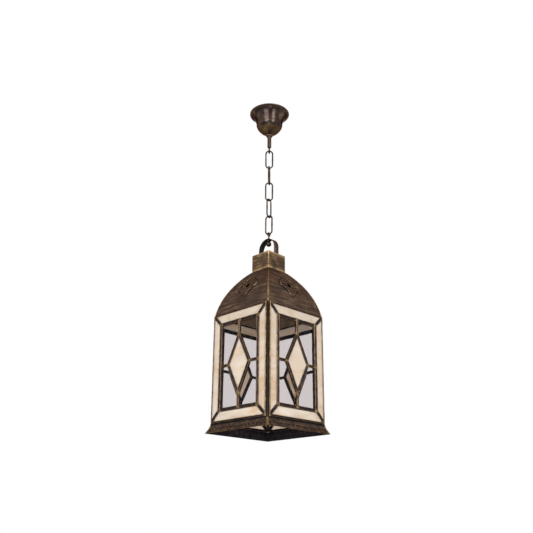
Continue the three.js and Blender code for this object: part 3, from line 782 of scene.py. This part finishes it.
dress(bailStrap(bail), strapBronze, "lantern", "bronze", "bail_strap")

# Collar: a square sleeve folded from sheet, its corners rounded
collar = {"wall": 1.0, "corner": 3.0, "edge": 1.6, "cornerSteps": 8, "rows": 10}


# How far along its side a face lies from the nearest corner
def fromCorner(face):
    return abs(abs(face.center.x) - abs(face.center.y))


def collarSleeve(size):
    low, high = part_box("collar")
    centre, section = high.x / mm - size["corner"], []
    for i in range(4):
        middle = Vector((centre, centre))
        middle.rotate(Matrix.Rotation(i * math.pi / 2, 2))
        section += arcLine(middle, size["corner"], i * 90, i * 90 + 90, size["cornerSteps"])
    section = [(x * mm, y * mm, 0) for x, y in section]
    heights = [low.z + (high.z - low.z) * i / size["rows"] for i in range(size["rows"] + 1)]
    places = [Matrix.Translation((0, 0, z)) for z in heights]
    sleeve = swept("collarSleeve", section, places)
    for face in openMesh(sleeve, "DESELECT").faces:
        face.select = abs(face.normal.z) > 0.9
    bmesh.update_edit_mesh(sleeve.data)
    bpy.ops.mesh.delete(type="FACE")
    bpy.ops.mesh.select_all(action="SELECT")
    bpy.ops.mesh.normals_make_consistent(inside=False)
    closeMesh()
    giveWall(sleeve, size["wall"])
    closeUp(sleeve, 30)
    paint(sleeve, collarBronze)
    # gold down the rounded corners: worn edges and painted highlight
    paint(sleeve, goldSeamAndHighlight, lambda face: fromCorner(face) < size["edge"] * mm)
    return sleeve


dress(collarSleeve(collar), collarBronze, "lantern", "bronze", "collar")


def climbs(line):
    lengths = [0]
    for before, point in zip(line, line[1:]):
        lengths.append(lengths[-1] + math.dist(before, point))
    return lengths


# A sheet of one side, mitred to its neighbours: line gives (out, height) from its lower edge up
def bentSheet(name, line, columns, relief, wall, trim, hole=None):
    lengths = climbs(line)
    rows = len(line) - 1
    piece = addPrimitive(bpy.ops.mesh.primitive_grid_add, x_subdivisions=columns, y_subdivisions=rows, size=2)
    piece.name = name
    mesh = openMesh(piece)
    if hole:
        def offset(co):
            row = min(rows, max(0, round((co.y + 1) / 2 * rows)))
            return co.x * (line[row][0] - trim) / hole[0], (lengths[row] - hole[2]) / hole[1]
        inside = [face for face in mesh.faces if math.hypot(*offset(face.calc_center_median())) < 1]
        bmesh.ops.delete(mesh, geom=inside, context="FACES")
    for vert in mesh.verts:
        row = min(rows, max(0, round((vert.co.y + 1) / 2 * rows)))
        out, height = line[row]
        ahead, behind = line[min(row + 1, rows)], line[max(row - 1, 0)]
        along = Vector((ahead[0] - behind[0], ahead[1] - behind[1])).normalized()
        across, climb = vert.co.x * (out - trim), lengths[row]
        if hole and vert.is_boundary and abs(vert.co.x) < 0.5 and 0 < row < rows:
            reach = math.hypot(across / hole[0], (climb - hole[2]) / hole[1])
            across /= reach
            shift = (climb - hole[2]) * (1 / reach - 1)
            out, height, climb = out + along.x * shift, height + along.y * shift, climb + shift
        rise = relief(across, climb, lengths[-1])
        out, height = out + along.y * rise, height - along.x * rise
        vert.co = Vector((across, -out, height)) * mm
    bmesh.update_edit_mesh(piece.data)
    closeMesh()
    giveWall(piece, wall)
    bpy.ops.object.shade_smooth_by_angle(angle=math.radians(35))
    return piece


# Dome: four curved sheets with a raised four-lobed ornament round an oval vent
dome = {
    "bulge": 10.3, "wall": 0.8, "rows": 132, "columns": 180, "trim": 0.25,
    "ventWidth": 10.6, "ventLength": 15, "ventHeight": 61.7, "vent": 0.25, "ventRim": 1.4, "ventShade": 8.2,
    "lobe": 24.8, "lobeSwing": 3.8, "rimWidth": 1.3, "rimHeight": 1.3, "plateau": 0.3,
    "trench": 0.9, "trenchOut": 2.6, "dent": 0.22, "dentWidth": 34, "dentHeight": 26,
    "fade": 14, "shadeAbove": -490,
    "arcs": [    # worn lengths of the rim, their gold partly painted highlight: from and to in degrees, and how far out
        (8, 30, 0), (38, 62, 0.6), (70, 84, -0.4), (98, 128, 0), (136, 150, 0.5), (158, 196, 0),
        (204, 222, -0.4), (230, 262, 0.3), (270, 284, 0), (292, 322, 0), (330, 346, 0.5),
    ],
    # dark arcs of painted shade in the hollow beside the rim: from and to in degrees, and how far out
    "hollowShades": [(12, 80, 2), (104, 168, 2), (192, 250, 2), (282, 344, 2), (88, 98, 1.2), (176, 186, 1.2)],
    "bead": 0.8, "hollowShade": 1.35, "hollowShadeRise": 0.5, "arcStep": 3,
    "studs": 5, "studX": 14, "studY": 17, "stud": 0.9,
    "seam": 0.75, "seamIn": 0.55, "seamDepth": 0.7,
    "foot": 2.1, "footReach": 40, "footDepth": 0.9, "footBump": 4,
}


def domeLine(size):
    low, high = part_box("dome_front")
    start, end = (-low.y / mm, low.z / mm), (reach("collar"), high.z / mm)
    chord = math.dist(start, end)
    radius = chord ** 2 / (8 * size["bulge"]) + size["bulge"] / 2
    half = math.degrees(math.asin(chord / 2 / radius))
    lean = math.degrees(math.atan2(start[0] - end[0], end[1] - start[1]))
    first = math.radians(lean - half)
    centre = (start[0] - radius * math.cos(first), start[1] - radius * math.sin(first))
    return arcLine(centre, radius, lean - half, lean + half, size["rows"])


def domeRelief(size, ventClimb):
    def relief(across, climb, top):
        up = climb - ventClimb
        radius, turn = math.hypot(across, up), math.atan2(up, across)
        past = radius - size["lobe"] - size["lobeSwing"] * math.cos(4 * turn)
        rise = size["rimHeight"] * math.exp(-(past / size["rimWidth"]) ** 2)
        rise -= size["trench"] * math.exp(-((past - size["trenchOut"]) / size["rimWidth"]) ** 2)
        rise += size["plateau"] / (1 + math.exp(past * 2))
        ventX, ventY = size["ventWidth"] / 2 + size["ventRim"], size["ventLength"] / 2 + size["ventRim"]
        rise += size["vent"] * math.exp(-((math.hypot(across / ventX, up / ventY) - 1) / 0.22) ** 2)
        fade = min(1, climb / size["fade"]) * min(1, (top - climb) / size["fade"])
        place = Vector((across / size["dentWidth"], climb / size["dentHeight"], 3.1))
        return rise + fade * size["dent"] * noise.noise(place)
    return relief


# A place on the front sheet, lifted off its surface
def onSheet(line, across, climb, rise):
    lengths = climbs(line)
    row = max(j for j, length in enumerate(lengths[:-1]) if length <= climb)
    share = (climb - lengths[row]) / (lengths[row + 1] - lengths[row])
    along = Vector(line[row + 1]) - Vector(line[row])
    out, height = Vector(line[row]) + along * share
    along.normalize()
    return Vector((across, -out - along.y * rise, height - along.x * rise)) * mm


# A small round stud on the front sheet
def studOn(line, across, climb, rise, radius):
    stud = addPrimitive(
        bpy.ops.mesh.primitive_uv_sphere_add,
        segments=12, ring_count=8, radius=radius * mm, location=onSheet(line, across, climb, rise))
    paint(stud, ornamentGold)
    return stud


# The rim of the ornament in broken lengths of bead, worn gold and partly painted highlight, beside dark arcs
# of painted shade in the hollow, and an inner row of studs
def ornamentBead(size, line, ventClimb):
    face, pieces = Vector((0, -1, 0.55)).normalized(), []
    crest = size["rimHeight"] + size["plateau"] / 2
    kinds = [(size["arcs"], crest, size["bead"], ornamentGold)]
    kinds.append((size["hollowShades"], size["hollowShadeRise"], size["hollowShade"], darkSeamAndShade))
    for arcs, rise, thick, material in kinds:
        for start, end, shift in arcs:
            count = max(5, int((end - start) / size["arcStep"]))
            points = []
            for i in range(count + 1):
                turn = math.radians(start + (end - start) * i / count)
                radius = size["lobe"] + size["lobeSwing"] * math.cos(4 * turn) + shift
                across, climb = radius * math.cos(turn), ventClimb + radius * math.sin(turn)
                points.append(onSheet(line, across, climb, rise))

            def swell(i, point):
                ends = math.sin(math.pi * (i + 0.4) / (count + 0.8)) ** 0.5
                grow = ends * (0.95 + 0.5 * noise.noise(point * 160))
                return grow, grow
            pieces.append(swept("arc", roundSection(thick * mm, 8), alongLine(points, face, swell)))
            paint(pieces[-1], material)
    for i in range(size["studs"]):
        turn = 2 * math.pi * (i + 0.5) / size["studs"]
        across, up = size["studX"] * math.cos(turn), size["studY"] * math.sin(turn)
        pieces.append(studOn(line, across, ventClimb + up, size["plateau"], size["stud"]))
    return closeUp(joinPieces("ornament", pieces), 80)


# Rubbed outside; a pale copy of the patina inside as painted light, painted shade inside at the top, and
# painted shade round the vent
def paintDome(sheet, size, vent):
    def inVent(face):
        return (face.center - vent).length < size["ventShade"] * mm and face.normal.y > -0.6

    paint(sheet, bronze)
    # painted light: the inside faces get the pale copy
    paint(sheet, innerPaintedLight, lambda face: face.normal.y > 0)
    # painted shade inside the top of the dome
    paint(sheet, darkSeamAndShade, lambda face: face.normal.y > 0 and face.center.z > size["shadeAbove"] * mm)
    # painted shade round and inside the vent
    paint(sheet, darkSeamAndShade, inVent)


def makeDome(size):
    line = domeLine(size)
    ventZ = line[0][1] + size["ventHeight"]
    ventClimb = max(length for length, point in zip(climbs(line), line) if point[1] < ventZ)
    hole = (size["ventWidth"] / 2, size["ventLength"] / 2, ventClimb)
    sheet = bentSheet(
        "domeFront", line, size["columns"], domeRelief(size, ventClimb), size["wall"], size["trim"], hole)
    paintDome(sheet, size, onSheet(line, 0, ventClimb, -size["wall"] / 2))
    dressRound(sheet, sideNames("dome"), bronze, "bronze", ["dome_" + side for side in sides])
    dressRound(ornamentBead(size, line, ventClimb), sideNames("ornament"), ornamentGold, "bronze")
    return line


# Solder bead along a corner of the lantern, its line given as (out, height, half width, half depth)
def cornerSeam(name, line):
    points = [Vector((out, -out, height)) * mm for out, height, width, depth in line]

    def swell(i, point):
        grow = 1 + 0.2 * noise.noise(point * 90)
        return line[i][2] * grow, line[i][3] * grow
    bead = swept(name, roundSection(mm, 12), alongLine(points, Vector((1, -1, 0)).normalized(), swell))
    return closeUp(bead, 80)


# Golden solder down the four hips, wider and bolder at its foot
def hipSeams(size, curve):
    line = []
    for i, (out, height) in enumerate(curve[2:-2:2]):
        width = size["seam"] + (size["foot"] - size["seam"]) * math.exp(-(i / size["footReach"]) ** 2)
        depth = size["seamDepth"] + size["footDepth"] * math.exp(-(i / size["footBump"]) ** 2)
        line.append((out - size["seamIn"], height, width, depth))
    dressRound(cornerSeam("hipSeam", line), cornerNames("hipSeam"), goldSeamAndHighlight, "aged_came")


hipSeams(dome, makeDome(dome))
print("bail, collar and dome made")

# Came lattice of one side: bars (x, height from the window's middle), each as wide as its came
came = {
    "out": 87.5, "thickness": 6, "middle": -662.9, "step": 4.5, "wobble": 0.07, "sway": 0.22,
    "overlap": 3, "tuck": 1,
    "borderOut": 81.1, "borderOutHeight": 116.5, "inner": 59.1, "innerHeight": 94.5, "innerWidth": 8,
    "mitreWidth": 7.5, "stubWidth": 6, "diamondWidth": 7.5, "diamondX": 32.4, "diamondHeight": 63,
    "topHeight": 118, "topWidth": 3, "bottomHeight": -118.75, "bottomWidth": 4.5,
    "upright": 81.1, "face": 90.5, "end": 82.7, "goldHighlight": 85.4,
    "solder": 5.6, "tipSolder": 4.4, "sideSolder": 4.2, "stubSolder": 4.7,
    "corner": 86.2, "cornerNarrow": 1.2, "cornerWide": 2.6, "cornerDepth": 1.3,
}


def cameSection(width, thickness):
    half, thick = width / 2, thickness / 2
    lip = min(1, half / 3)
    edge = [(0, 1.5), (0.15, 0.6), (0.7 * lip, 0.05), (1.3 * lip, 0.15), (2 * lip, 0.8)]
    outer = [(half - x, thick - y) for x, y in edge] + [(0.3 * half, thick - 1.1), (-0.3 * half, thick - 1.1)]
    outer += [(x - half, thick - y) for x, y in reversed(edge)]
    inner = [(-x, -y) for x, y in outer]
    return [(x * mm, y * mm, 0) for x, y in outer + inner]


def cameBar(start, end, width, size, seed):
    begin = Vector((start[0], -size["out"], size["middle"] + start[1]))
    finish = Vector((end[0], -size["out"], size["middle"] + end[1]))
    count = max(3, int((finish - begin).length / size["step"]))
    points = []
    for i in range(count + 1):
        point = begin.lerp(finish, i / count)
        shift = noise.noise_vector(Vector((seed * 7.3, i * 0.55, 0))) * size["sway"]
        points.append((point + Vector((shift.x, 0, shift.z))) * mm)

    def swell(i, point):
        return (1 + size["wobble"] * noise.noise(Vector((i * 0.9, seed, 1))),
                1 + 0.6 * size["wobble"] * noise.noise(Vector((i * 0.8, seed, 5))))
    return swept("bar", cameSection(width, size["thickness"]), alongLine(points, Vector((0, -1, 0)), swell))


def uprightCame(sign, size):
    face, outer = size["upright"], size["face"]
    corner = [     # from the glass round the outer face and down the end
        (0, -2), (0.1, -0.6), (0.6, -0.1), (1.2, -0.2), (1.8, -0.05), (2.3, -0.5), (2.4, -1.3), (2.3, -2.4),
        (2.4, -4.6), (2.2, -5.6), (1.6, -5.95), (0.6, -5.95), (0.1, -5.4), (0, -4),
    ]
    section = [(sign * (face + x) * mm, -(outer + depth) * mm, 0) for x, depth in corner]
    low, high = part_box("came_lattice_front")
    count = int((high.z - low.z) / mm / size["step"])
    places = []
    for i in range(count + 1):
        shift = noise.noise_vector(Vector((sign * 3.3, i * 0.5, 2))) * 0.12 * mm
        height = low.z + (high.z - low.z) * i / count
        places.append(Matrix.Translation((shift.x, 0, height)))
    return swept("upright", section, places)


def solderBlob(x, height, radius, size, seed):
    blob = addPrimitive(bpy.ops.mesh.primitive_uv_sphere_add, segments=20, ring_count=12, radius=1)
    openMesh(blob)
    centre = Vector((x, -size["out"], size["middle"] + height))

    def shape(co):
        lump = 1 + 0.16 * noise.noise(co * 1.3 + Vector((seed * 3.7, 0, 0)))
        flat = math.copysign(abs(co.y) ** 0.55, co.y) * (size["thickness"] / 2 - 0.02)
        return (centre + Vector((co.x * radius * lump, flat, co.z * radius * lump))) * mm
    moveVerts(blob, shape)
    closeMesh()
    return blob


# The bars of a lattice as (start, end, width), and its solder joints as (x, height, radius)
def latticePlan(size):
    inner, innerHeight = size["inner"], size["innerHeight"]
    out, outHeight = size["borderOut"], size["borderOutHeight"]
    tipX, tipHeight = size["diamondX"], size["diamondHeight"]
    past, tuck, stub = size["overlap"], size["tuck"], size["stubWidth"]
    bars, joints = [], []
    for sign in (-1, 1):
        x, height = sign * inner, sign * innerHeight
        tip, side = sign * (tipHeight + tuck), sign * (tipX + tuck)
        bars.append(((x, -innerHeight - past), (x, innerHeight + past), size["innerWidth"]))
        bars.append(((-inner - past, height), (inner + past, height), size["innerWidth"]))
        bars += [((0, tip), (0, height), stub), ((side, 0), (x, 0), stub)]
        joints += [(0, tip, size["tipSolder"]), (sign * (tipX + tuck / 2), 0, size["sideSolder"])]
        joints += [(0, height, size["stubSolder"]), (x, 0, size["stubSolder"])]
        for other in (-1, 1):
            bars.append(((x, other * innerHeight), (sign * out, other * outHeight), size["mitreWidth"]))
            bars.append(((sign * tipX, 0), (0, other * tipHeight), size["diamondWidth"]))
            joints.append((x, other * innerHeight, size["solder"]))
    for edge in ("top", "bottom"):
        height = size[edge + "Height"]
        bars.append(((-out, height), (out, height), size[edge + "Width"]))
    return bars, joints


def cameLattice(size):
    bars, joints = latticePlan(size)
    lead = [cameBar(start, end, width, size, i) for i, (start, end, width) in enumerate(bars)]
    lead += [uprightCame(-1, size), uprightCame(1, size)]
    drops = [solderBlob(x, height, radius, size, i) for i, (x, height, radius) in enumerate(joints)]
    for piece in lead:
        paint(piece, cameBronze)
    for piece in drops:
        paint(piece, solderGold)
    lattice = closeUp(joinPieces("latticeFront", lead + drops), 50)
    end, goldHighlight = size["end"] * mm, size["goldHighlight"] * mm
    # painted shade on the cames' inner faces
    paint(lattice, darkSeamAndShade, lambda face: face.normal.y > 0.3)
    # painted highlight on the came ends at the corners
    paint(lattice, goldSeamAndHighlight, lambda face: abs(face.center.x) > end and face.center.y < -goldHighlight)
    return lattice


lattices = ["came_lattice_" + side for side in sides]
dressRound(cameLattice(came), sideNames("lattice"), cameBronze, "aged_came", lattices)


# Dark seams of solder down the corners, between the edge cames of two sides
def darkSeams(size):
    bottom, top = heights("corner_rod_front_right")
    count = int((top - bottom) / 4)
    line = []
    for i in range(count + 1):
        width = size["cornerWide"] - (size["cornerWide"] - size["cornerNarrow"]) * i / count
        line.append((size["corner"], bottom + (top - bottom) * i / count, width, size["cornerDepth"]))
    rods = ["corner_rod_%s_%s" % pair for pair in zip(sides, sides[1:] + sides[:1])]
    dressRound(cornerSeam("cornerSeam", line), cornerNames("cornerSeam"), darkSeamAndShade, "dark_bronze", rods)


darkSeams(came)
print("came lattices made")

# Skirt: a flared band with a rolled top edge and a row of punched marks
skirt = {
    "wall": 0.8, "rows": 42, "columns": 340, "trim": 0.2, "bow": 0.9, "neck": 87,
    "roll": 0.88, "rollDown": 1.2, "rollWidth": 1.1, "bead": 0.5, "beadWidth": 1.2, "dent": 0.12,
    "marks": 16, "markSpacing": 11.2, "markHeight": 11, "markRadius": 2.6, "markDepth": 0.5, "markWidth": 0.7,
    "markReach": 1.6, "arch": 1.0, "archRise": 0.1, "stud": 1.15, "studUp": 0.6,
    "goldHighlight": 4.4, "dark": 3, "seam": 1.6, "seamIn": 0.8, "seamDepth": 1.0,
}


def skirtLine(size):
    bottom, top = heights("skirt")
    bottom += size["wall"] / 2
    foot, neck = reach("skirt") - size["bead"], size["neck"]
    line = []
    for i in range(size["rows"] + 1):
        share = i / size["rows"]
        bow = size["bow"] * math.sin(math.pi * share)
        line.append((foot + (neck - foot) * share - bow, bottom + (top - bottom) * share))
    return line


def skirtRelief(size):
    def relief(across, climb, top):
        rise = size["roll"] * math.exp(-((top - climb - size["rollDown"]) / size["rollWidth"]) ** 2)
        rise += size["bead"] * math.exp(-(climb / size["beadWidth"]) ** 2)
        place = across / size["markSpacing"]
        index = math.floor(place)
        if abs(index + 0.5) < size["marks"] / 2:
            x = (place - index - 0.5) * size["markSpacing"]
            up = climb - size["markHeight"]
            bowl = math.hypot(x, min(up, 0)) - size["markRadius"]
            over = max(0, up - size["markReach"])
            rise -= size["markDepth"] * math.exp(-(bowl / size["markWidth"]) ** 2 - over ** 2)
        return rise + size["dent"] * noise.noise(Vector((across / 30, climb / 20, 8.4)))
    return relief


# Punched marks: a dark arch in each dent as painted shade, round a worn stud, in a row along the front
def skirtMarks(line, size):
    face, pieces = Vector((0, -1, 0.3)).normalized(), []
    for i in range(size["marks"]):
        across, climb = (i - size["marks"] / 2 + 0.5) * size["markSpacing"], size["markHeight"]
        points = []
        for x, up in arcLine((0, 0), size["markRadius"], 180, 360, 10):
            points.append(onSheet(line, across + x, climb + up, size["archRise"]))
        pieces.append(swept("arch", roundSection(size["arch"] * mm, 8), alongLine(points, face)))
        # painted shade of the punched dent
        paint(pieces[-1], darkSeamAndShade)
        pieces.append(studOn(line, across, climb + size["studUp"], 0, size["stud"]))
    return closeUp(joinPieces("marks", pieces), 80)


def facesInside(face):
    return face.center.xy.dot(face.normal.xy) < 0


def makeSkirt(size):
    line = skirtLine(size)
    dressRound(skirtMarks(line, size), sideNames("marks"), ornamentGold, "bronze")
    sheet = bentSheet("skirtBand", line, size["columns"], skirtRelief(size), size["wall"], size["trim"])
    band = joinPieces("skirtBand", roundTheLantern(sheet, sideNames("skirt")))
    paint(band, skirtBronze)
    # gold down the corners: painted highlight over the solder seam
    paint(band, goldSeamAndHighlight, lambda face: fromCorner(face) < size["goldHighlight"] * mm)
    # painted shadow: a dark band just under the bottom came
    paint(band, darkSeamAndShade, lambda face: face.center.z / mm > line[-1][1] - size["dark"])
    # painted shade on the inner faces
    paint(band, darkSeamAndShade, facesInside)
    dress(band, skirtBronze, "lantern", "bronze", "skirt")
    seamLine = [
        (out - size["seamIn"], height, size["seam"], size["seamDepth"]) for out, height in line[2:-1:2]]
    seam = cornerSeam("skirtSeam", seamLine)
    paint(seam, goldSeamAndHighlight)
    # painted shade on the seam's inner side
    paint(seam, darkSeamAndShade, facesInside)
    dressRound(seam, cornerNames("skirtSeam"), goldSeamAndHighlight, "aged_came")


makeSkirt(skirt)

# Lampholder, its porcelain socket and the candle bulb
holder = {
    "cap": 15, "capWall": 1.2, "hole": 5.3, "gap": 0.3, "edge": 0.5, "slopeIn": 3.4, "slopeDown": 2.4,
    "groove": [(0.1, 1.6), (0.6, 2.2), (0.1, 2.8), (0, 3.4)],      # depth and height above the rim
}


def holderCapLine(size):
    bottom, top = heights("lampholder_cap")
    under = heights("lampholder_socket")[1] + size["gap"]
    radius, edge, slope = size["cap"], size["edge"], top - size["slopeDown"]
    bore, neck = radius - size["capWall"], radius - size["slopeIn"]
    line = [(size["hole"], top), (size["hole"], under), (bore, under), (bore, bottom + size["gap"])]
    line += [(radius - edge, bottom), (radius, bottom + edge)]
    line += [(radius - depth, bottom + height) for depth, height in size["groove"]]
    return line + [(radius, slope - 1), (radius - 0.4, slope), (neck, top - edge), (neck - 1.4, top)]


socket = {
    "bore": 7.3, "hole": 2, "end": 4, "edge": 0.6,
    "ribs": 5, "ribFrom": 3, "ribStep": 1.6, "ribDepth": 0.5,
}


def socketLine(size):
    bottom, top = heights("lampholder_socket")
    radius, bore, edge = reach("lampholder_socket"), size["bore"], size["edge"]
    line = [(size["hole"], top), (size["hole"], top - size["end"]), (bore, top - size["end"])]
    line += [(bore, bottom + 0.5), (bore + 0.5, bottom), (radius - edge, bottom), (radius, bottom + edge)]
    for i in range(size["ribs"]):
        height = bottom + size["ribFrom"] + i * size["ribStep"]
        line += [(radius, height), (radius - size["ribDepth"], height + size["ribStep"] / 2)]
    return line + [(radius, bottom + 12), (radius, top - 0.4), (radius - 0.4, top)]


dress(turned("holderCap", holderCapLine(holder)), chainBronze, "lantern", "dark_bronze", "lampholder_cap")
dress(turned("holderSocket", socketLine(socket)), porcelain, "lantern", "porcelain", "lampholder_socket")

bulb = {
    "base": 7, "baseLength": 24, "taper": 3, "contact": 3.85, "thread": 2.4, "threadDepth": 0.5,
    "widest": 0.42, "point": 0.8, "neckIn": 0.6, "wall": 0.7, "steps": 28,
}


def bulbGlassLine(size):
    tip, top = heights("candle_bulb")
    radius, steps, outline = reach("candle_bulb"), size["steps"], []
    shoulder, neck = top - size["baseLength"], size["base"] - size["neckIn"]
    widest = shoulder - (shoulder - tip) * size["widest"]
    for i in range(steps + 1):
        grow = math.sin(i / steps * math.pi / 2)
        outline.append((neck + (radius - neck) * grow, shoulder + (widest - shoulder) * i / steps))
    for i in range(1, steps):
        shrink = math.cos(i / steps * math.pi / 2) ** size["point"]
        outline.append((radius * shrink, widest + (tip - widest) * i / steps))
    outline.append((0.5, tip + 0.05))
    lining = []
    for i, (r, z) in enumerate(outline):
        lining.append((max(r - size["wall"], 0.3), z + (size["wall"] if i > steps else 0)))
    return outline + lining[::-1]


def bulbBaseLine(size):
    top = heights("candle_bulb")[1]
    shoulder, foot = top - size["baseLength"], size["base"] - 0.3
    line = [(1.2, top), (size["contact"], top - 0.4)]
    for i in range(int((size["baseLength"] - size["taper"] - 3) / size["thread"] * 2)):
        depth = size["threadDepth"] if i % 2 else 0
        line.append((size["base"] - depth, top - size["taper"] - i * size["thread"] / 2))
    return line + [(foot, shoulder + 0.4), (foot, shoulder), (2, shoulder)]


dress(turned("bulbGlass", bulbGlassLine(bulb)), bulbGlass, "lantern", "clear_glass", "candle_bulb")
dress(turned("bulbBase", bulbBaseLine(bulb), ring=False, count=48), zincPlate, "lantern", "zinc")
print("skirt and lamp made")

# The frame's own solids that stay, with their finishes
kept = {
    "zinc": zincPlate, "dark_bronze": chainBronze, "plastic": insulator,
    "cream_glass": creamGlass, "clear_glass": clearGlass,
}
for part in frame["record"]["subparts"]:
    node = nodes[part["node"]]
    if not node.hide_render:
        node.data.materials.clear()
        node.data.materials.append(kept[part["material_slot"]])

# Stage: a pale floor below, white all round, and soft lamps
studio = {
    "floor": -1.75, "floorSize": 14, "floorShade": 0.86, "floorGlow": 0.55, "glowShare": 0.6, "ambient": 0.62,
    "lamps": [
        {"name": "keyLamp", "place": (0.92, -2.21, 0.0), "size": 1.35, "tall": 1.7, "power": 38},
        {"name": "fillLamp", "place": (2.32, -0.6, 0.0), "size": 0.8, "tall": 1.7, "power": 25},
        {"name": "lowLamp", "place": (1.5, -1.6, -1.5), "size": 1.2, "tall": 0.8, "power": 4},
    ],
    "aim": (0, 0, -0.55),
}


# One for the rays that look at the studio, and nothing for those that light the lantern
def seenRays(tree):
    rays = addNode(tree, "ShaderNodeLightPath").outputs
    seen = calculate(tree, "MAXIMUM", rays["Is Camera Ray"], rays["Is Glossy Ray"])
    return calculate(tree, "MAXIMUM", seen, rays["Is Transmission Ray"])


def whiteWorld(scene, size):
    scene.world = bpy.data.worlds.new("studio")
    scene.world.use_nodes = True
    tree = scene.world.node_tree
    light = tree.nodes["Background"]
    light.inputs["Strength"].default_value = size["ambient"]
    light.inputs["Color"].default_value = (1, 1, 1, 1)
    white = addNode(tree, "ShaderNodeBackground", {"Color": (1, 1, 1, 1), "Strength": 1.0})
    mixed = addNode(tree, "ShaderNodeMixShader", {
        0: seenRays(tree), 1: light.outputs[0], 2: white.outputs[0]})
    tree.links.new(mixed.outputs[0], tree.nodes["World Output"].inputs["Surface"])


def addFloor(size):
    place = (0, 0, size["floor"])
    floor = addPrimitive(bpy.ops.mesh.primitive_plane_add, size=size["floorSize"], location=place)
    floor.name = "studioFloor"
    shade = opaque([size["floorShade"]] * 3)
    pale, tree, shader = startMaterial("paleFloor", {"Base Color": shade, "Roughness": 0.8})
    share = calculate(tree, "MULTIPLY", seenRays(tree), size["glowShare"])
    white = addNode(tree, "ShaderNodeEmission", {"Color": (1, 1, 1, 1), "Strength": size["floorGlow"]})
    added = addNode(tree, "ShaderNodeMixShader", {0: share, 1: shader.outputs[0], 2: white.outputs[0]})
    tree.links.new(added.outputs[0], tree.nodes["Material Output"].inputs["Surface"])
    floor.data.materials.append(pale)


def addStudio(size):
    scene = bpy.context.scene
    scene.view_settings.view_transform = "Standard"
    whiteWorld(scene, size)
    addFloor(size)
    for lamp in size["lamps"]:
        data = bpy.data.lights.new(lamp["name"], "AREA")
        data.shape, data.energy = "RECTANGLE", lamp["power"]
        data.size, data.size_y = lamp["size"], lamp["tall"]
        made = bpy.data.objects.new(lamp["name"], data)
        made.location = lamp["place"]
        towards = Vector(size["aim"]) - made.location
        made.rotation_euler = towards.to_track_quat("-Z", "Y").to_euler()
        scene.collection.objects.link(made)


addStudio(studio)
print("studio made")
